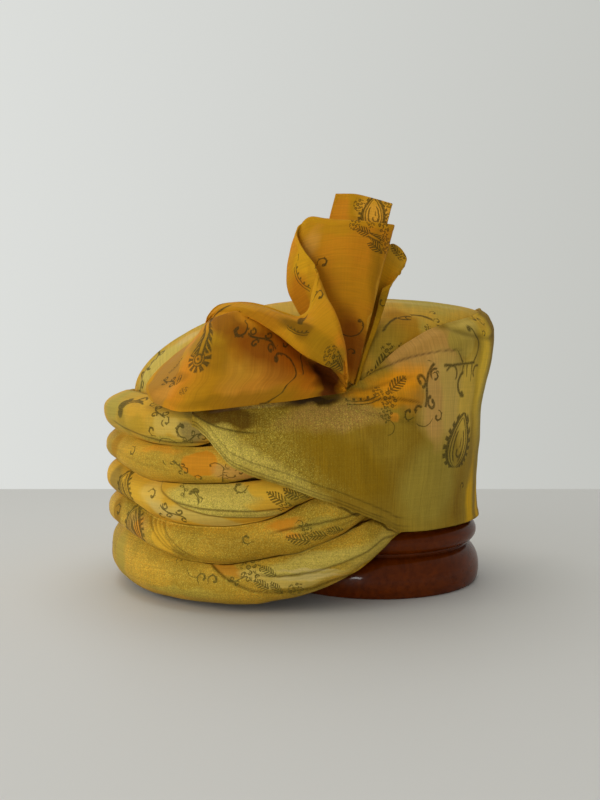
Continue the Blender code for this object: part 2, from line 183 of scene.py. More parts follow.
def waves(u, v, seed):
    """Smooth noise from -1 to 1, one bump or hollow for each unit of u and v."""
    i, j = np.floor(u), np.floor(v)
    s, t = u - i, v - j
    s, t = s * s * (3 - 2 * s), t * t * (3 - 2 * t)
    a, b = scatter(i, j, seed), scatter(i + 1, j, seed)
    c, d = scatter(i, j + 1, seed), scatter(i + 1, j + 1, seed)
    return 2.0 * ((a * (1 - s) + b * s) * (1 - t) + (c * (1 - s) + d * s) * t) - 1.0


def rough(u, v, seed):
    return 0.6 * waves(u, v, seed) + 0.3 * waves(2.1 * u + 3.7, 2.1 * v + 1.3, seed + 1) \
        + 0.15 * waves(4.3 * u + 9.1, 4.3 * v + 5.5, seed + 2)


def across(knots, values, at, sharp=()):
    """A smooth line through rows of values (Hermite, by the spacing of the knots).
    At the rows listed in sharp the line turns without rounding."""
    knots, values = np.asarray(knots, float), np.asarray(values, float)
    n = len(knots)
    step = np.diff(knots)
    slope = np.diff(values, axis=0) / step.reshape((-1,) + (1,) * (values.ndim - 1))
    before, after = np.zeros_like(values), np.zeros_like(values)
    for i in range(n):
        if i == 0 or i in sharp:
            after[i] = slope[min(i, n - 2)]
        if i == n - 1 or i in sharp:
            before[i] = slope[max(i - 1, 0)]
        if 0 < i < n - 1 and i not in sharp:
            w = step[i - 1] / (step[i - 1] + step[i])
            before[i] = after[i] = slope[i - 1] * (1 - w) + slope[i] * w
    before[0], after[n - 1] = after[0], before[n - 1]
    at = np.clip(at, knots[0], knots[-1])
    i = np.clip(np.searchsorted(knots, at, side="right") - 1, 0, n - 2)
    shape = (-1,) + (1,) * (values.ndim - 1)
    t, h = ((at - knots[i]) / step[i]).reshape(shape), step[i].reshape(shape)
    return ((2 * t ** 3 - 3 * t ** 2 + 1) * values[i] + (t ** 3 - 2 * t ** 2 + t) * h * after[i]
            + (3 * t ** 2 - 2 * t ** 3) * values[i + 1] + (t ** 3 - t ** 2) * h * before[i + 1])


def sight(px, py, depth):
    """The point seen at that place of the photograph whose Y is depth (millimetres)."""
    e = math.radians(CAMERA_DIP)
    dx = (px - 300.0) / FOCAL
    up = -(py - 400.0) / FOCAL
    dy = math.cos(e) + up * math.sin(e)
    dz = -math.sin(e) + up * math.cos(e)
    t = (depth - CAMERA_AT[1]) / dy
    return (CAMERA_AT[0] + dx * t, depth, CAMERA_AT[2] + dz * t)


def picture(points):
    """Where points are seen in the photograph, and how far ahead of the camera they are."""
    e = math.radians(CAMERA_DIP)
    d = np.asarray(points, float).reshape(-1, 3) - CAMERA_AT
    ahead = d[:, 1] * math.cos(e) - d[:, 2] * math.sin(e)
    up = d[:, 1] * math.sin(e) + d[:, 2] * math.cos(e)
    return 300.0 + FOCAL * d[:, 0] / ahead, 400.0 - FOCAL * up / ahead, ahead


class Chart:
    """Finds a place on a piece's flat cloth from where it is seen in the photograph."""

    def __init__(self, points, flat):
        self.points = np.asarray(points, float).reshape(-1, 3)
        self.flat = np.asarray(flat, float).reshape(-1, 2) / MM
        self.px, self.py, self.ahead = picture(self.points)

    def seen(self, px, py, toward=0.0):
        """The place on the flat cloth, the way that a direction in the picture (degrees,
        anticlockwise from the right) takes there, the size of a pixel in millimetres,
        and -1 where the back of the cloth is seen."""
        away = np.hypot(self.px - px, self.py - py)
        near = away < max(3.0, 1.3 * float(np.partition(away, 14)[14]))
        near &= self.ahead < self.ahead[near].min() + 7.0
        w = (1.0 / (0.6 + away[near]))[:, None]
        fit = np.stack([np.ones(int(near.sum())), self.px[near] - px, py - self.py[near]], 1)
        at, right, up = np.linalg.lstsq(fit * w, self.flat[near] * w, rcond=None)[0]
        a = math.radians(toward)
        way = right * math.cos(a) + up * math.sin(a)
        side = 1.0 if right[0] * up[1] - right[1] * up[0] > 0 else -1.0
        return (float(at[0]), float(at[1]), math.degrees(math.atan2(way[1], way[0])),
                float(self.ahead[near].mean()) / FOCAL, side)


def normals(points, closed_rows=False, closed_columns=False):
    """Unit normals of a grid of points."""
    def change(p, axis, closed):
        if closed:
            return np.roll(p, -1, axis) - np.roll(p, 1, axis)
        return np.gradient(p, axis=axis)
    n = np.cross(change(points, 0, closed_rows), change(points, 1, closed_columns))
    return n / np.maximum(np.linalg.norm(n, axis=2, keepdims=True), 1e-9)


def quads(rows, columns, start=0, closed_rows=False, closed_columns=False):
    r = np.arange(rows if closed_rows else rows - 1)
    c = np.arange(columns if closed_columns else columns - 1)
    i, j = np.meshgrid(r, c, indexing="ij")
    i2, j2 = (i + 1) % rows, (j + 1) % columns
    f = np.stack([i * columns + j, i2 * columns + j, i2 * columns + j2, i * columns + j2], -1)
    return start + f.reshape(-1, 4)


def make_piece(name, points, faces, cloth_at, layers=None):
    """A mesh piece from points in millimetres, smooth, with its faces pointing out.
    cloth_at is where each point lies on the flat cloth, in metres."""
    p = np.asarray(points, float).reshape(-1, 3) * MM
    f = [list(q) for q in faces] if isinstance(faces, list) else faces.tolist()
    six = 0.0
    for size in (3, 4):
        q = np.array([t for t in f if len(t) == size])
        if len(q):
            for k in range(1, size - 1):
                a, b, c = p[q[:, 0]], p[q[:, k]], p[q[:, k + 1]]
                six += float(np.einsum("ij,ij->i", a, np.cross(b, c)).sum())
    if six < 0:
        f = [q[::-1] for q in f]
    mesh = bpy.data.meshes.new(name)
    mesh.from_pydata(p.tolist(), [], f)
    mesh.validate()
    mesh.shade_smooth()
    flat = np.asarray(cloth_at, float).reshape(-1, 2)
    at = np.zeros(len(mesh.loops), np.int32)
    mesh.loops.foreach_get("vertex_index", at)
    mesh.uv_layers.new(name="cloth").data.foreach_set("uv", flat[at].astype(np.float32).ravel())
    for label, values in (layers or {}).items():
        mesh.attributes.new(label, "FLOAT", "POINT").data.foreach_set(
            "value", np.asarray(values, np.float32).ravel())
    obj = bpy.data.objects.new(name, mesh)
    bpy.context.scene.collection.objects.link(obj)
    return obj


def thin_sheet(name, face, thickness, cloth_at, layers=None, closed_rows=False, inward=1.0):
    """A closed sheet: the face, the same face set back by its thickness, and its rims."""
    rows, columns = face.shape[:2]
    n = normals(face, closed_rows) * inward
    thickness = np.broadcast_to(np.asarray(thickness, float), (rows, columns))
    back = face + n * thickness[..., None]
    size = rows * columns
    faces = [quads(rows, columns, 0, closed_rows),
             quads(rows, columns, size, closed_rows)[:, ::-1]]
    grid = np.arange(size).reshape(rows, columns)
    rims = [grid[:, 0], grid[:, -1][::-1]]
    if not closed_rows:
        rims += [grid[0][::-1], grid[-1]]
    for rim in rims:
        a, b = rim[:-1], rim[1:]
        if closed_rows:
            a, b = rim, np.roll(rim, -1)
        faces.append(np.stack([a, a + size, b + size, b], -1))
    layers = {k: np.concatenate([np.ravel(v)] * 2) for k, v in (layers or {}).items()}
    return make_piece(name, np.concatenate([face.reshape(-1, 3), back.reshape(-1, 3)]),
                      np.concatenate(faces), np.concatenate([cloth_at.reshape(-1, 2)] * 2), layers)


# the cloth is painted darker along these creases, as painted shade; the wrap's woven border lines are kept here as
# well
shade_and_line_marks = []      # where the folds made so far leave a crease


def crease_shade_and_lines(azimuth):
    """How deep in a crease each place lies, from 0 to 1; the cloth's colour is darkened by it as painted shade."""
    depth = 0.0 * azimuth
    for mark in shade_and_line_marks:
        depth = np.maximum(depth, mark)
    return depth


def fold(azimuth, height, line, lift, crease, reach=9.0, keep_left=False, keep_right=False,
         edge=0.4):
    """One layer of cloth lying over the next along a line of (azimuth, height) points.
    A positive lift puts the upper layer in front. Gives the rise of the surface, and
    where the upper layer is."""
    line = sorted(line)
    a = [p[0] for p in line]
    middle = curve(a, [p[1] for p in line], azimuth)
    inside = np.ones_like(azimuth, float)
    if not keep_left:
        inside = inside * smoothstep(a[0] - 1.0, a[0] + 4.0, azimuth)
    else:
        inside = inside * smoothstep(a[0] - 0.6, a[0], azimuth)
    if not keep_right:
        inside = inside * (1.0 - smoothstep(a[-1] - 6.0, a[-1] + 1.0, azimuth))
    off = height - middle
    over = 0.5 + 0.5 * np.tanh(off / edge)
    if lift >= 0:
        rise = lift * over * np.exp(-np.maximum(off, 0.0) / reach)
    else:
        rise = -lift * (1 - over) * np.exp(-np.maximum(-off, 0.0) / reach)
    rise = rise - crease * np.exp(-np.abs(off) / 1.3)
    # the fold line is also kept for the painted shade along it
    shade_and_line_marks.append(inside * np.exp(-(off / 0.75) ** 2))
    return inside * rise, inside * over


def groove(azimuth, height, line, depth, width=1.2):
    """A crease along a line of (azimuth, height) points that fades at its ends."""
    line = sorted(line)
    a = [p[0] for p in line]
    off = height - curve(a, [p[1] for p in line], azimuth)
    span = a[-1] - a[0]
    inside = smoothstep(a[0], a[0] + 0.25 * span, azimuth) \
        * (1 - smoothstep(a[-1] - 0.25 * span, a[-1], azimuth))
    # the groove is also kept for the painted shade along it
    shade_and_line_marks.append(min(0.7 * depth, 0.8) * inside * np.exp(-(off / (0.7 * width)) ** 2))
    return -depth * inside * np.exp(-(off / width) ** 2)


# ======================================================================= pieces
def signed(azimuth):
    return (np.asarray(azimuth, float) + 180.0) % 360.0 - 180.0


def build_roll(index, stations, around):
    name, front, back, upper_fall, lower_fall, further_in = ROLLS[index]
    turn = np.linspace(back, 360.0 + front, stations)[:, None]
    a = signed(turn)
    top = column(SEAMS, index + 1, a) - ROLL_GAP / 2
    low = column(SEAMS, index + 2, a) + ROLL_GAP / 2
    from_end = np.minimum(turn - turn[0], turn[-1] - turn)
    full = np.sqrt(smoothstep(-3.0, 14.0, from_end))
    middle, half = (top + low) / 2, (top - low) / 2 * (0.6 + 0.4 * full)
    inner = np.maximum(cap_face(a, low), cap_face(a, top)) + CLOTH_GAP
    near = low < STAND_HEIGHT + 1.0
    for _ in range(80):
        x, y = plan_point(a, inner)
        inside = near & (np.hypot(x, y) < STAND_RADIUS + CLOTH_GAP)
        if not inside.any():
            break
        inner = inner + 0.25 * inside
    end = smoothstep(95.0, 150.0, np.abs(a))
    outer = ROLL_FACE + tuck(a, middle) - 1.5 * (1.0 - full) + further_in * end
    outer = np.maximum(outer, inner + 2.0)
    depth = outer - inner
    outside = around - 12
    s = np.cos(np.pi * np.arange(outside) / (outside - 1))[None, :]
    fall = np.where(s > 0, upper_fall, lower_fall) * np.abs(s) ** 2.6
    offset = outer - np.minimum(fall, depth * 0.8)
    z = middle + s * half
    si = np.linspace(-0.985, 0.985, 12)[None, :]
    offset = np.concatenate([offset, inner + 0 * si], 1)
    z = np.concatenate([z, middle + si * half], 1)
    x, y = plan_point(a + 0 * z, offset)
    points = np.stack([x, y, z], -1)

    # where each point lies on the flat cloth: along the roll, and round it from its middle
    gap = np.linalg.norm(np.diff(points, axis=1), axis=2)
    arc = np.concatenate([np.zeros((stations, 1)), np.cumsum(gap, 1)], 1)
    at_middle = arc[:, outside // 2][:, None]
    u = run(turn) - run(180.0)
    cloth_at = np.stack([u + 0 * z, middle - (arc - at_middle)], -1) * MM

    # folds, then long tension wrinkles, soft lumps and a fine crumple
    shade_and_line_marks.clear()
    rise, layers = roll_folds(index, a + 0 * z, z)
    # the crease layer: where the cloth's colour gets painted shade
    layers["crease"] = crease_shade_and_lines(a + 0 * z)
    seed = 31 * (index + 1)
    slant = z + 0.05 * u
    rise = rise + 0.55 * rough(u / 70.0, slant / 7.5, seed) + 0.9 * waves(u / 46.0, z / 22.0, seed + 7)
    rise = rise + 0.22 * rough(u / 16.0, z / 5.0, seed + 11)
    near_end = 1 - smoothstep(2.0, 26.0, from_end)
    rise = rise + near_end * 0.9 * waves(u / 60.0, slant / 4.6, seed + 17)
    visible = np.ones(around)
    visible[outside:] = 0.0
    visible[:3] = (0.0, 0.3, 0.7)
    visible[outside - 3:outside] = (0.7, 0.3, 0.0)
    n = normals(points, closed_columns=True)
    centre = points.mean(axis=1, keepdims=True)
    sign = np.sign(np.mean(np.sum(n * (points - centre), -1)))
    points = points + sign * n * (rise * visible[None, :])[..., None]

    faces = quads(stations, around, closed_columns=True).tolist()
    ends = []
    flat = cloth_at.reshape(-1, 2)
    all_points = points.reshape(-1, 3)
    for first in (0, (stations - 1) * around):
        ring = list(range(first, first + around))
        all_points = np.concatenate([all_points, all_points[ring].mean(axis=0, keepdims=True)])
        flat = np.concatenate([flat, flat[ring].mean(axis=0, keepdims=True)])
        hub = len(all_points) - 1
        for k in range(around):
            pair = [ring[k], ring[(k + 1) % around]]
            ends.append([hub] + (pair[::-1] if first else pair))
    # the end fans face away from the roll
    layers = {k: np.concatenate([np.ravel(v), [0.0, 0.0]]) for k, v in layers.items()}
    ends = [e[::-1] for e in ends]
    return (make_piece("visual_" + name, all_points, faces + ends, flat, layers),
            Chart(points[:, :outside], cloth_at[:, :outside]))


def roll_folds(index, a, z):
    """The folds of each roll, as rises of its face, and which layer shows where."""
    rise, upper, lower = 0.0 * z, 0.0 * z, 0.0 * z
    if index == 0:
        # the gathered border that comes over the first roll below the fan
        for k, depth in enumerate((0.9, 0.8, 0.7, 0.5)):
            rise += groove(a, z, [(-116 + k, 133 - 2.2 * k), (-110 + k, 129.5 - 3.0 * k),
                                  (-104 + k, 124.5 - 3.6 * k), (-98 + k, 118 - 4.0 * k)], depth, 0.9)
        step, upper = fold(a, z, [(-150, 120), (-140, 116), (-128, 111.5), (-116, 109), (-100, 110)],
                           0.5, 0.3, 10.0)
        rise += 0.6 * step
        step, lower = fold(a, z, [(104, 113), (120, 119), (140, 124), (164, 128), (179, 129)], 0.9, 0.5)
        rise += step
    if index == 1:
        step, upper = fold(a, z, [(98, 104), (112, 99), (128, 96), (146, 99), (160, 104)], 0.9, 0.5)
        rise += step
        rise += groove(a, z, [(-150, 101), (-138, 97), (-124, 92), (-112, 90)], 0.35, 1.4)
    if index == 2:
        step, upper = fold(a, z, [(-125, 83.5), (-121, 76.5), (-114, 70.6), (-103, 67.3), (-91, 66.5),
                                  (-84, 68.3), (-78, 71), (-73, 75)], 1.5, 0.7, 8.0, keep_right=True)
        rise += step
        step, lower = fold(a, z, [(-119, 73), (-111, 66.8), (-99, 62.3), (-89, 61.8), (-81, 66),
                                  (-76, 72)], 1.1, 0.6, 5.0, keep_right=True)
        rise += step
        rise += groove(a, z, [(-104, 64.8), (-96, 63.6), (-88, 63.8), (-82, 66.5)], 0.5, 0.8)
        step, back = fold(a, z, [(92, 76), (108, 70), (126, 66), (150, 70), (168, 78)], 1.1, 0.6)
        rise += step
    if index == 3:
        for k, depth in enumerate((1.3, 1.0, 0.8, 1.0)):
            shift = 1.9 * k
            rise += groove(a, z, [(-132 + shift, 61), (-127 + shift, 54), (-123 + shift, 46),
                                  (-117.5 + shift, 38), (-110 + shift, 32.5)], depth, 0.85)
        step, upper = fold(a, z, [(-87, 53), (-82, 55.5), (-76, 58.5), (-70, 61.5), (-64, 65)],
                           0.9, 0.6, 5.0, keep_right=True)
        rise += step
        rise += groove(a, z, [(-80, 50.5), (-75, 54), (-70, 57), (-64, 61)], 0.5, 0.8)
        step, lower = fold(a, z, [(86, 50), (100, 44), (120, 42), (140, 47), (160, 55)], 1.0, 0.6)
        rise += step
    if index == 4:
        step, upper = fold(a, z, [(-106, 34), (-104, 31.5), (-99, 25.3), (-94, 20), (-89, 16.2),
                                  (-84, 15.2), (-78, 16.5), (-70, 22)], -1.3, 0.7, 8.0, keep_right=True)
        rise += step
        step, lower = fold(a, z, [(-90, 27), (-85, 25.6), (-80, 26.8), (-73, 31), (-66, 38), (-59, 46)],
                           0.6, 0.4, 6.0, keep_right=True)
        rise += step
        rise += groove(a, z, [(-84, 23.5), (-78, 24.5), (-72, 28.5), (-65, 35)], 0.45, 0.8)
        step, back = fold(a, z, [(80, 26), (96, 18), (116, 15), (140, 20), (160, 29)], 1.0, 0.6)
        rise += step
    return rise, {"upper": upper, "lower": lower}


def build_wrap(stations, rows):
    a = np.linspace(-108.0, 118.0, stations)[:, None]
    front = a < 0
    low, high, foot, top, depth = (
        np.where(front, column(WRAP_FRONT, c, a), column(WRAP_BACK, c, a)) for c in range(1, 6))
    t = np.linspace(0.0, 1.0, rows)[None, :]
    z = low + (high - low) * t
    lean = smoothstep(0.0, 1.0, (z - high + depth) / depth)
    offset = foot + tuck(a, z) + (top - foot) * lean
    from_low, from_high = z - low, high - z
    full_height = smoothstep(10.0, 30.0, high - low)
    # the upper edge is a soft fold that turns in to the crown
    offset = offset - full_height * 4.5 * (1 - smoothstep(0.0, 6.5, from_high)) ** 1.6
    # it lies over on to the crown and closes the hollow behind the rolls' ends, except
    # where the fan comes out
    over_on = np.where(front, smoothstep(83.0, 89.0, -a) * (1 - smoothstep(99.0, 104.0, -a)),
                       smoothstep(56.0, 68.0, a)) * (1 - smoothstep(0.3, 4.2, from_high))
    offset = offset + over_on * (cap_face(a, z) + 1.0 - offset)
    x, y = plan_point(a + 0 * z, offset)
    points = np.stack([x, y, z], -1)
    u = run(a) - run(-70.0)
    aa = a + 0 * z

    shade_and_line_marks.clear()
    rise = 0.0 * z
    step, over = fold(aa, z, [(-112, 132), (-108, 127.5), (-104, 123), (-100, 119.6), (-95, 117),
                              (-91, 116), (-86, 116)], 1.4, 0.6, 9.0, keep_left=True)
    rise += step
    # folds that run from the pinch up the right side
    step, sweep = fold(aa, z, [(-70, 142.5), (-65, 149), (-61, 155), (-56, 161.5), (-50, 165.5),
                               (-44, 168), (-36, 169)], -2.2, 0.7, 16.0)
    rise += step
    step, patch = fold(aa, z, [(-69, 137), (-64, 136), (-59, 136.5), (-54, 135), (-49, 132)],
                       1.5, 0.6, 9.0)
    rise += step
    rise += groove(aa, z, [(-70, 140), (-64, 143), (-58, 148), (-52, 151)], 0.8, 1.6)
    rise += groove(aa, z, [(-72, 133), (-64, 127), (-56, 122), (-48, 119)], 0.5, 2.5)
    rise += groove(aa, z, [(-46, 186), (-34, 180), (-22, 178), (-10, 182)], 0.9, 2.6)
    # fine wrinkles that fan out of the pinch
    du, dz = u, z - 141.0
    r = np.hypot(du, dz)
    rays = np.arctan2(dz, du)
    rise += 1.0 * waves(rays * 9.0, r / 60.0, 5) * np.exp(-r / 38.0) * smoothstep(2.0, 12.0, r)
    rise += 0.5 * rough(u / 60.0, (z - 0.25 * u) / 22.0, 71) + 0.16 * rough(u / 14.0, z / 14.0, 73)
    # the woven gold border: two raised lines near the lower edge, on the front left part
    border = smoothstep(0.0, 1.0, (-50.0 - aa) / 8.0)
    rise += border * (0.35 * np.exp(-((from_low - 6.2) / 0.5) ** 2)
                      + 0.30 * np.exp(-((from_low - 1.4) / 0.6) ** 2)
                      - 0.25 * np.exp(-((from_low - 3.6) / 0.9) ** 2))
    # the hem of the lower edge elsewhere
    rise += (1 - border) * 0.3 * (1 - smoothstep(3.5, 4.3, from_low))
    # back: a few long folds towards the tucked end
    for k in range(4):
        rise += groove(aa, z, [(52 + 3 * k, 120 + 14 * k), (72 + 2 * k, 112 + 8 * k),
                               (92 + k, 118 + 4 * k), (110, 132 + 2 * k)], 0.9, 1.8)
    # three thin lines along the woven border are darkened through the same crease layer as the painted shade
    for line, width in ((1.4, 0.5), (3.4, 0.4), (8.6, 0.5)):
        shade_and_line_marks.append(border * 0.75 * np.exp(-((from_low - line) / width) ** 2))
    n = normals(points)
    sign = np.sign(np.mean(n[..., 0] * (points[..., 0] + 40) + n[..., 1] * points[..., 1]))
    points = points + sign * n * rise[..., None]
    cloth_at = np.stack([u + 0 * z, z], -1) * MM
    return thin_sheet("visual_cross_wrap", points, 1.5, cloth_at,
                      {"upper": over, "lower": sweep, "crease": crease_shade_and_lines(aa)},
                      inward=-sign), Chart(points, cloth_at), cloth_at


def build_crown(stations, wall_rows, dome_rows):
    a = np.linspace(-180.0, 180.0, stations, endpoint=False)[:, None]
    low, spring, boxy = (column(CAP, c, a) for c in (2, 3, 4))
    t = np.linspace(0.0, 1.0, wall_rows)[None, :]
    z = low + (spring - low) * t
    x, y = plan_point(a + 0 * z, cap_face(a, z))
    wall = np.stack([x, y, z], -1)
    share = np.cos(np.linspace(0.0, math.pi / 2, dome_rows + 2)[1:-1])[None, :]
    rx, ry = plan_point(a, cap_face(a, spring))
    rise = (1.0 - share ** 2) ** (1.0 / boxy)
    dome = np.stack([CAP_APEX_X + share * (rx - CAP_APEX_X), share * ry,
                     spring + (CAP_TOP - spring) * rise], -1)
    points = np.concatenate([wall, dome], 1)
    gap = np.linalg.norm(np.diff(points, axis=1), axis=2)
    arc = np.concatenate([np.zeros((stations, 1)), np.cumsum(gap, 1)], 1)

    # wound layers that cross the dome from one side to the other, then soft wrinkles
    px, py, pz = points[..., 0], points[..., 1], points[..., 2]
    on_dome = smoothstep(136.0, 152.0, pz)
    rise = 0.0 * px
    for k, (where, slope, lift) in enumerate(((-46, 0.30, 1.2), (-8, 0.22, 1.1), (22, 0.12, 1.3),
                                              (48, 0.02, 1.2), (74, -0.08, 1.1))):
        line = where + slope * (px + 60.0) + 3.0 * waves(px / 55.0, 0 * px + k, 40 + k)
        off = py - line
        over = 0.5 + 0.5 * np.tanh(off / 0.9)
        fade = 1.0 if k else smoothstep(-60.0, -110.0, px)
        rise += fade * (lift * over * np.exp(-np.maximum(off, 0) / 11.0)
                        - 0.6 * np.exp(-np.abs(off) / 1.8))
    rise += 0.7 * rough(px / 42.0, py / 18.0, 61) + 0.25 * rough(px / 11.0, py / 9.0, 63)
    rise *= on_dome
    n = normals(points, closed_rows=True)
    sign = np.sign(np.mean(np.sum(n * (points - np.array([-45.0, 0.0, 100.0])), -1)))
    face = points + sign * n * rise[..., None]
    back = points - sign * n * (CAP_WALL - 0.6)
    rows, columns = face.shape[:2]
    size = rows * columns
    # the flat cloth, spread out from the top of the dome
    from_top = arc[:, -1:] - arc
    level = np.maximum(np.hypot(px - CAP_APEX_X, py), 1e-6)
    cloth_at = np.stack([from_top * (px - CAP_APEX_X) / level, from_top * py / level], -1) * MM
    faces = [quads(rows, columns, 0, True), quads(rows, columns, size, True)[:, ::-1]]
    rim = np.arange(rows) * columns
    nxt = np.roll(rim, -1)
    faces.append(np.stack([rim, rim + size, nxt + size, nxt], -1))
    faces = np.concatenate(faces).tolist()
    all_points = np.concatenate([face.reshape(-1, 3), back.reshape(-1, 3),
                                 [[CAP_APEX_X, 0, CAP_TOP + float(rise[:, -1].mean())],
                                  [CAP_APEX_X, 0, CAP_TOP - CAP_WALL + 0.6]]])
    flat = np.concatenate([cloth_at.reshape(-1, 2)] * 2 + [np.zeros((2, 2))])
    last = rim + columns - 1
    for k in range(rows):
        j = (k + 1) % rows
        faces.append([int(last[k]), int(last[j]), 2 * size])
        faces.append([int(last[j]) + size, int(last[k]) + size, 2 * size + 1])
    return (make_piece("visual_crown_cap", all_points, faces, flat), Chart(face, cloth_at),
            cloth_at)


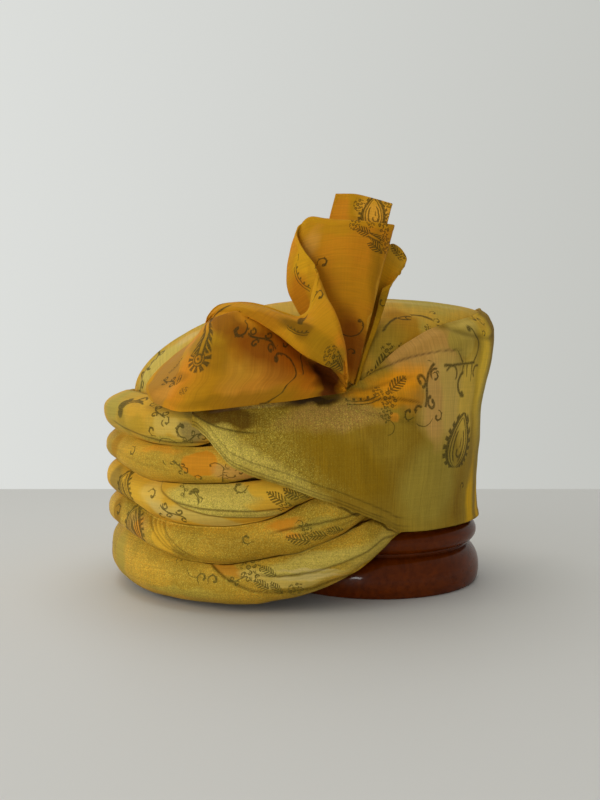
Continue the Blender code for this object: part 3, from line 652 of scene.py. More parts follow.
# The free end of the cloth: fold lines that all start at the pinch. Each point is a place
# in the photograph and its depth, px, py, Y in millimetres.
FRONT_SHEET = (
    # the lobe that falls to the left: from its hem up to the hollow under the bright face
    ("hem", "", ((346, 392, -112), (333, 394, -120), (300, 399.5, -125), (262, 404, -128),
                 (225, 408.5, -129), (191, 411.5, -127), (177, 411.5, -121), (163, 407, -111),
                 (151, 401, -98))),
    ("low", "", ((346, 391, -112), (337, 388.5, -110), (327, 388.5, -121), (298, 391, -127),
                 (260, 393, -131),
                 (222, 396, -132), (191, 399, -129), (179, 398.5, -123), (162, 395, -108),
                 (147, 391, -91))),
    ("face_1", "", ((346, 390, -112), (335, 382, -105), (325, 379.5, -108), (315, 379, -121),
                    (297, 378, -126), (260, 377, -132),
                    (224, 379, -133), (195, 383, -129), (184, 383, -123), (166, 383, -105),
                    (148, 383, -82))),
    ("face_2", "", ((346, 389, -112), (333, 376, -104), (320, 371, -106), (307, 368, -119),
                    (296, 363, -122), (261, 357, -130),
                    (228, 360, -132), (201, 365, -128), (190, 366, -121), (174, 368, -101),
                    (158, 370, -74))),
    ("face_3", "", ((346, 389, -111), (331, 369, -104), (316, 363, -105), (301, 355, -113),
                    (290, 349, -118), (261, 339, -127),
                    (230, 341, -130), (206, 347, -126), (195, 350, -118), (184, 353, -96),
                    (174, 356, -68))),
    ("face_4", "", ((346, 388, -110), (330, 364, -104), (312, 355, -105), (296, 344, -109),
                    (283, 336, -114), (260, 325, -122),
                    (233, 324, -126), (212, 331, -121), (201, 336, -112), (194, 341, -90),
                    (189, 345, -63))),
    ("hollow", "", ((346, 388, -109), (325, 360.5, -106), (305, 346.5, -107), (288, 334.5, -110.5),
                    (259, 318, -116),
                    (236, 313, -121), (217, 318, -116), (206, 325, -107), (202, 330, -88),
                    (200, 336, -62))),
    # the bright face, from the fold over the hollow to the lip
    ("under_fold", "", ((347, 387, -113), (341, 373.5, -122), (322, 364, -126), (305, 355, -128),
                        (282, 336, -128), (255, 316.5, -124), (236, 309, -118), (221, 309, -110),
                        (208, 317, -97))),
    ("over_fold", "", ((347, 386, -114), (341, 370, -124), (322, 357, -129), (305, 345, -131),
                       (283, 327, -130), (258, 312, -124), (242, 306.5, -117), (229, 304, -110),
                       (216, 307.5, -103))),
    ("bright_1", "", ((347, 385, -115), (341, 366, -125), (324, 349, -130), (308, 337, -131),
                      (289, 322, -128), (269, 311, -122), (257, 307, -118), (246, 304, -113),
                      (236, 302.8, -109))),
    ("bright_2", "", ((347, 384, -116), (342, 361, -126), (328, 341, -130), (314, 330, -130),
                      (299, 321, -127), (284, 315, -122), (275, 311.5, -119), (267, 308, -115),
                      (260, 304.5, -112))),
    ("bright_3", "", ((347, 384, -116), (343, 357, -126), (331, 336, -130), (320, 327, -129),
                      (309, 321, -126), (299, 318, -122), (293, 316.5, -120), (288, 315, -118),
                      (284, 312.5, -116))),
    ("notch", "", ((347, 383, -117), (344, 353, -127), (334, 329, -130), (325, 320, -128),
                   (318, 317.5, -126), (311, 317, -123), (307, 317.3, -121), (303, 317.5, -119),
                   (299, 316.5, -117.5))),
    ("lip_1", "", ((348, 382, -117), (345, 350, -127), (336.5, 323, -130), (329, 313, -128),
                   (322, 308, -125), (316, 306, -122), (313, 307, -120), (310.5, 308.5, -118.5),
                   (308, 310, -117))),
    ("lip_2", "", ((348, 381, -117), (345.5, 347, -126), (338, 318, -128.5), (331.5, 306, -126.5),
                   (325, 299, -123), (319, 295, -120), (316, 294, -118), (313.5, 294, -116.5),
                   (311.5, 294.5, -115))),
    ("lip_3", "", ((348, 380, -117), (345.7, 352, -124), (340.5, 331, -125.5), (334.5, 314, -124),
                   (328.5, 300, -120.5), (323, 289.5, -117), (320, 284, -115.2), (317.8, 280, -113.6),
                   (316, 277.5, -112.5))),
    ("lip_fold", "sharp", ((349, 379, -116), (346.5, 364, -120), (343, 349, -121.5),
                           (338.5, 333, -120.5), (333, 315, -118), (327.5, 298, -115),
                           (324.2, 289, -113.2), (320.8, 280, -111.3), (317.5, 272, -109.5))),
    # behind the bright face: the back wall of the hollow, up to the free edge
    ("inside_1", "", ((348, 378, -112), (343, 352, -113), (334, 328, -112), (325, 310, -110.5),
                      (318, 296, -109.5), (314, 284, -109), (313, 277, -108.5), (313, 271, -108),
                      (314.5, 264, -107))),
    ("inside_2", "", ((347, 378, -109), (338, 352, -108), (325, 328, -106), (314, 308, -104.5),
                      (305, 291, -104), (301, 277, -104), (301, 268, -104), (302, 260, -103.5),
                      (304.5, 251, -102.5))),
    ("inside_3", "", ((346, 378, -107), (333, 352, -104), (317, 328, -101), (303, 307, -99.5),
                      (294, 288, -99), (291.5, 271, -99.5), (293, 260, -99.5), (295.5, 250, -98.5),
                      (298.5, 240, -97))),
    ("left_turn", "", ((345, 378, -105), (329, 352, -100), (311, 328, -97), (296, 307, -95),
                       (288, 290, -94), (287, 270, -93.5), (289.5, 257, -93), (293, 244, -92),
                       (297.5, 232, -91))),
    # the upright pleat that faces the viewer
    ("panel_1", "", ((345, 379, -104), (330, 352, -98), (313, 328, -94), (299, 307, -92),
                     (292, 288, -90.5), (291, 266, -90), (293, 252, -90), (296, 238, -89),
                     (300.5, 225, -88))),
    ("panel_2", "", ((346, 379, -103), (334, 352, -98), (321, 328, -95), (311, 307, -93.5),
                     (305, 285, -92.5), (303, 262, -92), (303.5, 247, -91.5), (305, 231, -90),
                     (309, 217, -88))),
    ("panel_3", "", ((347, 380, -103), (340, 352, -99), (332, 328, -97), (326, 307, -96),
                     (323, 285, -95.5), (322, 262, -95), (322.5, 247, -94), (324, 232, -92),
                     (326, 218.5, -89.5))),
    ("panel_4", "", ((348, 381, -103), (346, 352, -100), (343, 328, -98.5), (342, 307, -98),
                     (342, 285, -97.5), (343, 262, -96.5), (344, 247, -95.5), (345, 233, -93),
                     (346, 220.5, -90))),
    ("panel_5", "", ((350, 382, -103), (352, 352, -99.5), (354, 328, -98), (357, 307, -97),
                     (360, 285, -96), (363.5, 262, -95), (366, 247, -93.5), (368, 234, -91),
                     (370, 222, -88))),
    ("panel_6", "", ((351, 383, -103), (357, 352, -99), (362, 328, -97), (367, 307, -95.5),
                     (372, 285, -94), (377.5, 262, -92.5), (381, 248, -90.5), (383.5, 236, -88),
                     (385.5, 224, -85.5))),
    ("right_fold", "sharp", ((353.5, 384, -102), (361.5, 352, -96.5), (367.5, 328, -94),
                             (373, 307, -92), (378, 285, -90), (383.5, 262, -88), (387, 250, -86.5),
                             (390, 238, -84.5), (393, 225, -82.5))),
    ("turned_in", "", ((352.5, 384, -100.5), (359.5, 352, -94.5), (365, 328, -91.5),
                       (370, 307, -89), (374.5, 285, -87), (379, 262, -85), (382, 250, -83.5),
                       (385, 238, -82), (388, 226, -80.5))),
)
TIP_SHEET = (
    ("left_edge", "", ((345, 381, -100), (339, 340, -94), (332, 300, -90), (327, 260, -87),
                       (328, 226, -84.5), (335.5, 194, -79))),
    ("plain_part", "", ((347, 381, -100), (345, 340, -94), (343, 300, -90), (341, 260, -87),
                        (342, 226, -84), (346, 194, -77.5))),
    ("crease", "", ((348, 381, -100), (350, 340, -94), (351, 300, -90), (352, 260, -87),
                    (354, 226, -84), (356, 194.5, -76.5))),
    ("printed_part", "", ((350, 381, -100), (355, 340, -93.5), (360, 300, -89.5), (366, 260, -86),
                          (371, 226, -82.5), (375, 199, -75))),
    ("right_fold", "sharp", ((352, 382, -99), (361, 340, -92), (369, 300, -87.5), (379, 260, -83),
                             (387.5, 226, -79.5), (393, 204, -73.5))),
    ("turned_in", "", ((351, 382, -97.5), (358, 340, -90), (366, 300, -84.5), (375, 260, -79.5),
                       (383, 226, -76), (388, 205, -70.5))),
)
BACK_SHEET = (
    ("left_edge", "", ((351, 383, -96), (358, 352, -88), (367, 320, -81), (375, 290, -76),
                       (381, 266, -72), (388, 245, -68))),
    ("rim_left", "", ((353, 384, -96), (361, 352, -87), (371, 320, -79.5), (380, 290, -74),
                      (387, 266, -69.5), (393, 244, -65))),
    ("flare", "", ((355, 385, -96), (364.5, 352, -87), (375, 320, -79), (384, 292, -73),
                   (393, 269, -67.5), (401, 249, -61))),
    ("flare_edge", "", ((356, 385, -97), (366.5, 352, -88.5), (377.5, 320, -81), (386, 297, -75.5),
                        (393, 277, -70), (406.5, 258, -62))),
    ("lower_rim", "", ((356.5, 385.5, -98), (367.5, 352, -90), (379, 320, -83), (386, 299.5, -79),
                       (390.5, 285, -74.5), (400, 271, -68))),
    ("right_edge", "sharp", ((357, 386, -99), (368, 352, -91.5), (379.5, 321, -85.5),
                             (384, 306, -82.5), (386.5, 296, -80), (390, 284.5, -76))),
    ("turned_in", "", ((355, 385, -100), (364, 352, -92.5), (374, 322, -87), (378, 307, -84),
                       (380, 297, -82), (383, 288, -79))),
)


def build_fan(name, table, lines, along, thickness, seed, crumple=0.45):
    """A sheet through its fold lines, with a hem along its free edge."""
    count = len(table)
    steps = np.linspace(0.0, 1.0, along)
    rays = []
    for label, kind, places in table:
        p = np.array([sight(*q) for q in places])
        gaps = np.linalg.norm(np.diff(p, axis=0), axis=1)
        knots = np.concatenate([[0.0], np.cumsum(gaps)])
        rays.append(across(knots, p, steps * knots[-1]))
    rays = np.array(rays)                                   # fold line, along, xyz
    spacing = np.linalg.norm(np.diff(rays, axis=0), axis=2)[:, along // 3:].mean(axis=1)
    knots = np.concatenate([[0.0], np.cumsum(np.maximum(spacing, 0.8) ** 0.75)])
    sharp = [i for i, row in enumerate(table) if row[1] == "sharp"]
    at = np.interp(np.linspace(0, 1, lines), np.linspace(0, 1, 400),
                   np.interp(np.linspace(0, 1, 400), knots / knots[-1], knots))
    for i in sharp:
        at[np.argmin(np.abs(at - knots[i]))] = knots[i]
    face = across(knots, rays, at, sharp)                   # lines, along, xyz

    # lay the cloth flat: distance from the pinch, and the angle between fold lines
    gaps = np.linalg.norm(np.diff(face, axis=1), axis=2)
    r = np.concatenate([np.zeros((lines, 1)), np.cumsum(gaps, 1)], 1)
    tile = 0.5 * np.linalg.norm(np.cross(face[1:, 1:] - face[:-1, :-1],
                                         face[1:, :-1] - face[:-1, 1:]), axis=2)
    middle_r, middle_gap = 0.5 * (r[1:] + r[:-1]), 0.5 * (gaps[1:] + gaps[:-1])
    middle_r = 0.5 * (middle_r[:, 1:] + middle_r[:, :-1])
    turn = tile.sum(axis=1) / (middle_r * middle_gap).sum(axis=1)
    angle = np.concatenate([[0.0], np.cumsum(turn)])[:, None]
    cloth_at = np.stack([r * np.cos(angle), -r * np.sin(angle)], -1) * MM
    to_rim = r[:, -1:] - r

    # gathers near the pinch, a slack rim, and a crumple of the thin cloth
    arc = angle * 100.0
    t = r / np.maximum(r[:, -1:], 1.0)
    rise = 0.9 * waves(angle * 13.0, t * 1.6, seed) * (1 - t) ** 1.5 * smoothstep(3.0, 14.0, r)
    rise += 0.55 * waves(arc / 17.0, t * 1.2 + 0 * r, seed + 3) * t ** 2
    flat_u, flat_v = cloth_at[..., 0] / MM, cloth_at[..., 1] / MM
    rise += crumple * rough(flat_u / 21.0, flat_v / 21.0, seed + 5)
    rise += 0.5 * crumple * np.abs(rough(flat_u / 34.0 + 3, flat_v / 12.0, seed + 9))
    n = normals(face)
    face = face + n * rise[..., None]
    n = normals(face)
    hem = 1 - smoothstep(3.6, 4.6, to_rim)
    seam = np.exp(-((to_rim - 4.3) / 0.5) ** 2)
    half = thickness / 2 * (1 + 0.9 * hem - 0.5 * seam)
    face = face - n * half[..., None]
    return (thin_sheet(name, face, 2 * half, cloth_at, {"hem": hem}, inward=1.0),
            Chart(face, cloth_at), cloth_at)


def build_stand(sides, steps):
    def moulding(radius, low, high, depth, belly=None, foot_depth=None):
        belly = (low + high) / 2 if belly is None else belly
        foot_depth = depth if foot_depth is None else foot_depth
        out = []
        for k in range(steps + 1):
            a = math.pi / 2 - math.pi * k / steps
            back, reach = (depth, high - belly) if a > 0 else (foot_depth, belly - low)
            out.append((radius - back * (1.0 - math.cos(a)), belly + reach * math.sin(a)))
        return out
    groove_z = STAND_GROOVE_HEIGHT
    profile = [(0.0, STAND_HEIGHT), (40.0, STAND_HEIGHT)]
    profile += moulding(STAND_UPPER_RADIUS, groove_z + 1.0, STAND_HEIGHT, 8.0)
    profile += [(STAND_GROOVE_RADIUS + 0.3, groove_z + 0.8), (STAND_GROOVE_RADIUS, groove_z),
                (STAND_GROOVE_RADIUS + 0.3, groove_z - 0.8)]
    profile += moulding(STAND_RADIUS, 0.0, groove_z - 1.0, 11.0, STAND_BELLY, 3.0)
    profile += [(40.0, 0.0), (0.0, 0.0)]
    ring = np.array(profile[1:-1])
    a = 2 * math.pi * np.arange(sides) / sides
    p = np.stack([ring[:, 0] * np.cos(a)[:, None], ring[:, 0] * np.sin(a)[:, None],
                  ring[:, 1] + 0 * a[:, None]], -1)
    rows, columns = p.shape[:2]
    faces = quads(rows, columns, 0, closed_rows=True).tolist()
    points = np.concatenate([p.reshape(-1, 3), [[0, 0, STAND_HEIGHT], [0, 0, 0]]])
    for k in range(rows):
        j = (k + 1) % rows
        faces.append([k * columns, rows * columns, j * columns])
        faces.append([j * columns + columns - 1, rows * columns + 1, k * columns + columns - 1])
    flat = np.concatenate([np.stack([ring[:, 0] + 0 * a[:, None], 80 * a[:, None] + 0 * ring[:, 0]],
                                    -1).reshape(-1, 2), [[0, 0], [0, 0]]]) * MM
    return make_piece("visual_stand_base", points, faces, flat)


# ==================================================================== materials
class Num:
    """A number in a material's node tree, so that a rule reads as a formula."""

    def __init__(self, tree, socket):
        self.tree, self.socket = tree, socket

    def op(self, name, *others, clamp=False):
        return math_node(self.tree, name, (self,) + others, clamp)

    def __add__(self, o):
        return self.op("ADD", o)

    def __sub__(self, o):
        return self.op("SUBTRACT", o)

    def __mul__(self, o):
        return self.op("MULTIPLY", o)

    __radd__, __rmul__ = __add__, __mul__

    def __rsub__(self, o):
        return math_node(self.tree, "SUBTRACT", (o, self), False)


def math_node(tree, name, items, clamp):
    node = tree.nodes.new("ShaderNodeMath")
    node.operation = name
    node.use_clamp = clamp
    for slot, item in zip(node.inputs, items):
        if isinstance(item, Num):
            tree.links.new(item.socket, slot)
        else:
            slot.default_value = float(item)
    return Num(tree, node.outputs[0])


def size(a):
    return a.op("ABSOLUTE")


def root(a):
    return a.op("SQRT")


def most(a, *others):
    for b in others:
        a = a.op("MAXIMUM", b)
    return a


def below(a, edge, soft):
    """1 where a is under the edge, 0 where it is over, with a soft change."""
    if isinstance(edge, Num):
        return (edge - a).op("MULTIPLY_ADD", 1.0 / soft, 0.5, clamp=True)
    return a.op("MULTIPLY_ADD", -1.0 / soft, edge / soft + 0.5, clamp=True)


def over(a, edge, soft):
    return a.op("MULTIPLY_ADD", 1.0 / soft, 0.5 - edge / soft, clamp=True)


def vector_node(tree, name, a, b=None, c=None, scale=None, number=False):
    node = tree.nodes.new("ShaderNodeVectorMath")
    node.operation = name
    for slot, item in zip(node.inputs, (a, b, c)):
        if item is None:
            continue
        if hasattr(item, "is_output"):
            tree.links.new(item, slot)
        else:
            slot.default_value = item
    if scale is not None:
        if isinstance(scale, Num):
            tree.links.new(scale.socket, node.inputs["Scale"])
        else:
            node.inputs["Scale"].default_value = scale
    return Num(tree, node.outputs["Value"]) if number else node.outputs["Vector"]


def split(tree, vector):
    node = tree.nodes.new("ShaderNodeSeparateXYZ")
    tree.links.new(vector, node.inputs[0])
    return [Num(tree, s) for s in node.outputs]


def mix_colour(tree, amount, a, b):
    node = tree.nodes.new("ShaderNodeMix")
    node.data_type = "RGBA"
    slots = [s for s in node.inputs if s.enabled]
    for slot, item in zip(slots, (amount, a, b)):
        if isinstance(item, Num):
            tree.links.new(item.socket, slot)
        elif hasattr(item, "is_output"):
            tree.links.new(item, slot)
        elif isinstance(item, (int, float)):
            slot.default_value = float(item)
        else:
            slot.default_value = (*item, 1.0)
    return [s for s in node.outputs if s.enabled][0]


def noise_node(tree, vector, scale, detail=2.0, roughness=0.5, kind="Fac"):
    node = tree.nodes.new("ShaderNodeTexNoise")
    tree.links.new(vector, node.inputs["Vector"])
    node.inputs["Scale"].default_value = scale
    node.inputs["Detail"].default_value = detail
    node.inputs["Roughness"].default_value = roughness
    return node.outputs[kind] if kind == "Color" else Num(tree, node.outputs["Fac"])


def layer_node(tree, label):
    node = tree.nodes.new("ShaderNodeAttribute")
    node.attribute_name = label
    return Num(tree, node.outputs["Fac"])


def rgb(red, green, blue):
    """A display colour, 0 to 255, as the linear colour that a shader takes."""
    def lin(c):
        c = c / 255.0
        return c / 12.92 if c <= 0.04045 else ((c + 0.055) / 1.055) ** 2.4
    return (lin(red), lin(green), lin(blue))


# ---------------------------------------------------------------- printed motifs
# Each is drawn in its own square, x and y from -1 to 1, and gives how much ink is there.
def disc(x, y, cx, cy, r, soft=0.05):
    dx, dy = x - cx, y - cy
    return below(root(dx * dx + dy * dy), r, soft)


def arc(x, y, cx, cy, r, middle, reach, width, soft=0.04):
    """Part of a circle's line, reach degrees each way from its middle direction."""
    dx, dy = x - cx, y - cy
    a = math.radians(middle)
    along = dx * math.cos(a) + dy * math.sin(a)
    away = root(dx * dx + dy * dy)
    within = over(along - away * math.cos(math.radians(reach)), 0.0, soft * 1.5)
    return below(size(away - r), width, soft) * within


def dash(x, y, x0, y0, x1, y1, width, soft=0.04):
    """A straight stroke from one point to the other, thick at its start."""
    length = math.hypot(x1 - x0, y1 - y0)
    ux, uy = (x1 - x0) / length, (y1 - y0) / length
    along = (x - x0) * ux + (y - y0) * uy
    off = (y - y0) * ux - (x - x0) * uy
    taper = along.op("MULTIPLY_ADD", -0.6 / length, 1.0, clamp=True)
    return below(size(off), taper * width, soft) * below(size(along - length / 2), length / 2, soft)


def tendril(x, y):
    """A hooked stroke that is thickest at its inner end, with a bud and thorns."""
    r, th = root(x * x + y * y), y.op("ARCTAN2", x)
    part = below(size(th), 2.35, 0.15)
    line = r - th * 0.085 - 0.52
    stroke = below(size(line) + th * 0.028, 0.105, 0.05) * part
    thorn = below(size(line - 0.13), 0.09, 0.05) * over((th * 6.0).op("SINE"), 0.72, 0.2) * part
    return most(stroke, disc(x, y, -0.20, -0.20, 0.17), thorn * 0.85)


def long_tendril(x, y):
    """A long thin bow that ends in a bud."""
    return most(arc(x, y, 0.0, 0.0, 0.82, 5, 96, 0.040), disc(x, y, -0.24, 0.64, 0.12),
                arc(x, y, -0.08, 0.66, 0.17, 120, 95, 0.045))


def vine(x, y):
    """A waving stem with hooks on either side of it."""
    d = y - (x * 2.6).op("SINE") * 0.20
    stem = below(size(d), 0.050, 0.04)
    c = x * 2.3
    cell = c.op("FLOOR")
    fx = (c - cell - 0.5) * 0.435
    side = 1.0 - cell.op("FLOORED_MODULO", 2.0) * 2.0
    qy = d * side - 0.22
    rq = root(fx * fx + qy * qy)
    aq = qy.op("ARCTAN2", fx * side)
    hook = below(size(rq - 0.15), 0.045, 0.04) * below(aq, 2.1, 0.2)
    hx, hy = fx * side + 0.06, qy - 0.08
    hook = most(hook, below(root(hx * hx + hy * hy), 0.075, 0.04))
    return most(stem, hook) * below(size(x), 0.93, 0.04) * below(size(d), 0.46, 0.03)


def branch(x, y):
    """A thick stem with one big hook and short dashes below it, and a bow up its end."""
    return most(dash(x, y, -0.76, -0.16, 0.52, -0.08, 0.040), dash(x, y, 0.52, -0.08, -0.76, -0.16, 0.038),
                arc(x, y, 0.08, 0.36, 0.56, 2, 56, 0.026), disc(x, y, 0.36, 0.76, 0.07),
                arc(x, y, 0.14, -0.60, 0.30, 192, 84, 0.040), disc(x, y, 0.05, -0.86, 0.075),
                dash(x, y, 0.16, -0.12, 0.20, -0.44, 0.032), dash(x, y, 0.40, -0.10, 0.44, -0.56, 0.032),
                dash(x, y, -0.02, -0.10, -0.30, 0.20, 0.032), dash(x, y, 0.02, -0.14, -0.06, -0.38, 0.032),
                arc(x, y, -0.46, -0.36, 0.20, 60, 100, 0.030), arc(x, y, 0.66, -0.30, 0.15, 150, 90, 0.028))


def paisley(x, y):
    """A bent drop with outlines inside one another and a fringe of ticks."""
    xb = x - y * y * 0.30 + 0.06
    s = y.op("MULTIPLY_ADD", 0.625, 0.45, clamp=True)
    half = root(s) * (1.0 - s).op("POWER", 0.85) * 1.12
    dd = size(xb) - half
    there = over(s, 0.01, 0.02) * below(s, 0.985, 0.02)
    outline = below(size(dd + 0.02), 0.062, 0.04)
    inner = below(size(dd + 0.17), 0.032, 0.04) * below(s, 0.86, 0.04)
    core = below(size(dd + 0.275), 0.028, 0.04) * below(s, 0.70, 0.05)
    seed = below(dd, -0.36, 0.03)
    ticks = over((((y + 0.15).op("ARCTAN2", x)) * 17.0).op("SINE"), 0.05, 0.35)
    fringe = below(size(dd - 0.090), 0.065, 0.04) * ticks
    return most(outline, inner, core, seed, fringe) * there


def drop(x, y):
    """A broad leaning drop: a thick outline with a fringe, a slim drop and a curl inside."""
    xb = (x - y * 0.20 - y * y * 0.12 + 0.04) * 0.74
    s = y.op("MULTIPLY_ADD", 0.60, 0.48, clamp=True)
    half = root(s) * (1.0 - s).op("POWER", 0.85) * 1.06
    dd = size(xb) - half
    there = over(s, 0.01, 0.02) * below(s, 0.985, 0.02)
    ticks = over((((y + 0.25).op("ARCTAN2", x)) * 19.0).op("SINE"), -0.15, 0.4)
    fringe = below(size(dd - 0.075), 0.065, 0.04) * ticks
    slim = below(size(dd + 0.235), 0.026, 0.03) * below(s, 0.66, 0.05) * over(s, 0.12, 0.05)
    return most(below(size(dd + 0.01), 0.058, 0.04), below(size(dd + 0.125), 0.022, 0.03) * below(s, 0.9, 0.04),
                slim, arc(x, y, -0.02, -0.34, 0.13, 250, 120, 0.035),
                dash(x, y, 0.02, -0.20, 0.07, 0.10, 0.03), fringe) * there


def feather(x, y):
    """A leaf of slanting strokes on either side of its rib."""
    ax = size(x)
    q = ((y - ax * 0.8) * 4.0).op("FRACT")
    leaf = below(size(q - 0.5), 0.30, 0.15) * below(ax, (1.0 - y * y) * 0.42, 0.05) * over(ax, 0.03, 0.03)
    return most(leaf, below(ax, 0.045, 0.04) * below(size(y), 0.96, 0.05))


def plume(x, y):
    """A feather whose eye is at its lower end, with petals round the eye."""
    ay = size(y)
    wide = x.op("MULTIPLY_ADD", -0.24, 0.12, clamp=True) + 0.17
    q = ((x + ay * 1.2) * 5.6).op("FRACT")
    leaf = below(size(q - 0.5), 0.33, 0.15) * below(ay, wide, 0.05) * over(ay, 0.07, 0.04) \
        * over(x, -0.42, 0.05) * below(x, 0.96, 0.05)
    ex, ey = x + 0.58, y - 0.02
    re = root(ex * ex + ey * ey)
    ae = ey.op("ARCTAN2", ex)
    petals = below(size(re - 0.32), 0.12, 0.05) * over((ae * 12.0).op("SINE"), -0.40, 0.5) \
        * over(size(ae), 1.1, 0.3)
    eye = below(size(re - 0.15), 0.030, 0.04)
    ribs = below(size(ay - 0.11), 0.042, 0.03) * below(size(x - 0.20), 0.70, 0.05)
    tuft = below(size(x - 0.90), 0.12, 0.05) * below(ay, 0.16, 0.05)
    return most(leaf, ribs, tuft, petals, eye, below(re, 0.05, 0.04),
                below(size(re - 0.23), 0.020, 0.03) * over(size(ae), 0.6, 0.2))


def stroke(x, y):
    """One thick brush stroke."""
    return below(size(y + x * x * 0.12), (1.0 - x * x) * 0.17, 0.06)


def thick_leaf(x, y):
    """A solid leaf with three fronds."""
    body = most(disc(x, y, -0.45, 0.10, 0.33, 0.08), disc(x, y, -0.55, -0.32, 0.24, 0.08),
                disc(x, y, -0.18, 0.28, 0.20, 0.08))
    return most(body, arc(x, y, 0.05, -0.75, 0.90, 80, 42, 0.06),
                arc(x, y, 0.10, -0.95, 0.95, 72, 38, 0.05), arc(x, y, 0.25, 0.75, 0.62, 265, 60, 0.05),
                arc(x, y, 0.60, 0.05, 0.26, 70, 80, 0.05))


def bow(x, y):
    """A long thin line, a little bent."""
    return arc(x, y, 0.0, 0.0, 0.90, 90, 58, 0.034)


def twin_line(x, y):
    """Two thin lines side by side, with a few ticks on one of them."""
    bend = y - x * x * 0.22 + 0.1
    ticks = over((x * 19.0).op("SINE"), 0.55, 0.3) * below(size(bend - 0.09), 0.06, 0.03)
    return most(below(size(bend), 0.030, 0.03), below(size(bend + 0.15), 0.026, 0.03),
                ticks) * below(size(x), 0.94, 0.05)


def drop_outline(x, y):
    """The outline of a pointed leaf, with two short strokes inside it."""
    s = x.op("MULTIPLY_ADD", 0.56, 0.5, clamp=True)
    half = root(1.0 - s) * s.op("POWER", 0.9) * 0.78
    outline = below(size(size(y) - half), 0.085, 0.06) * over(s, 0.02, 0.02) * below(s, 0.98, 0.02)
    return most(outline, arc(x, y, 0.30, 0.02, 0.22, 200, 100, 0.07))


def thicket(x, y):
    """Close small hooks and dots, as where prints lie over one another."""
    gx, gy = x * 2.2 + y * 0.7, y * 2.3 - x * 0.6
    ix, iy = gx.op("FLOOR"), gy.op("FLOOR")
    jx, jy = gx - ix - 0.5, gy - iy - 0.5
    spin = (ix * 2.3 + iy * 4.1).op("SINE") * 3.1
    rj = root(jx * jx + jy * jy)
    aj = ((jy.op("ARCTAN2", jx) + spin) * 0.5).op("SINE")
    ring = below(size(rj - 0.32), 0.13, 0.07) * below(aj, 0.55, 0.1)
    away = root(x * x + y * y)
    return most(ring, below(rj, 0.11, 0.06)) * below(away, 0.92, 0.12)


MOTIFS = dict(tendril=tendril, long_tendril=long_tendril, vine=vine, branch=branch,
              paisley=paisley, drop=drop, feather=feather, plume=plume, thick_leaf=thick_leaf, bow=bow, stroke=stroke,
              twin_line=twin_line, drop_outline=drop_outline, thicket=thicket)
NUMBERS = {name: i + 1 for i, name in enumerate(MOTIFS)}
made_prints = {}


def prints(kinds):
    """A node group that draws these motifs. Its input is a place within the motif, with
    the motif's number as its third value."""
    key = tuple(sorted(kinds))
    if key in made_prints:
        return made_prints[key]
    tree = bpy.data.node_groups.new("prints", "ShaderNodeTree")
    tree.interface.new_socket("Place", in_out="INPUT", socket_type="NodeSocketVector")
    tree.interface.new_socket("Ink", in_out="OUTPUT", socket_type="NodeSocketFloat")
    into, out = tree.nodes.new("NodeGroupInput"), tree.nodes.new("NodeGroupOutput")
    x, y, kind = split(tree, into.outputs[0])
    ink = None
    for name in key:
        here = MOTIFS[name](x, y) * below(size(kind - NUMBERS[name]), 0.3, 0.1)
        ink = here if ink is None else most(ink, here)
    tree.links.new(ink.socket, out.inputs[0])
    made_prints[key] = tree
    return tree


def turned(tree, where, u, v, turn):
    """The place as seen from (u, v), turned by an angle."""
    moved = vector_node(tree, "SUBTRACT", where, (u * MM, v * MM, 0.0))
    if abs(turn) < 0.01:
        return moved
    node = tree.nodes.new("ShaderNodeVectorRotate")
    node.rotation_type = "Z_AXIS"
    tree.links.new(moved, node.inputs["Vector"])
    node.inputs["Angle"].default_value = -math.radians(turn)
    return node.outputs[0]


def motif_ink(tree, where, motifs):
    """The ink of all the prints in motifs: (name, u, v, turn, radius, side)."""
    best, nearest = None, None
    for name, u, v, turn, radius, side in motifs:
        local = vector_node(tree, "MULTIPLY_ADD", turned(tree, where, u, v, turn),
                            (1.0 / (radius * MM), side / (radius * MM), 0.0), (0.0, 0.0, 0.0))
        away = vector_node(tree, "LENGTH", local, number=True)
        local.node.inputs[2].default_value = (0.0, 0.0, 0.0)
        tagged = vector_node(tree, "ADD", local, (0.0, 0.0, float(NUMBERS[name])))
        if best is None:
            best, nearest = tagged, away
            continue
        closer = math_node(tree, "LESS_THAN", (away, nearest), False)
        node = tree.nodes.new("ShaderNodeMix")
        node.data_type = "VECTOR"
        slots = [s for s in node.inputs if s.enabled]
        tree.links.new(closer.socket, slots[0])
        tree.links.new(best, slots[1])
        tree.links.new(tagged, slots[2])
        best = [s for s in node.outputs if s.enabled][0]
        nearest = nearest.op("MINIMUM", away)
    group = tree.nodes.new("ShaderNodeGroup")
    group.node_tree = prints({m[0] for m in motifs})
    tree.links.new(best, group.inputs[0])
    return Num(tree, group.outputs[0]) * below(nearest, 1.08, 0.02)


INK = rgb(58, 50, 14)
ZARI = rgb(206, 186, 74)


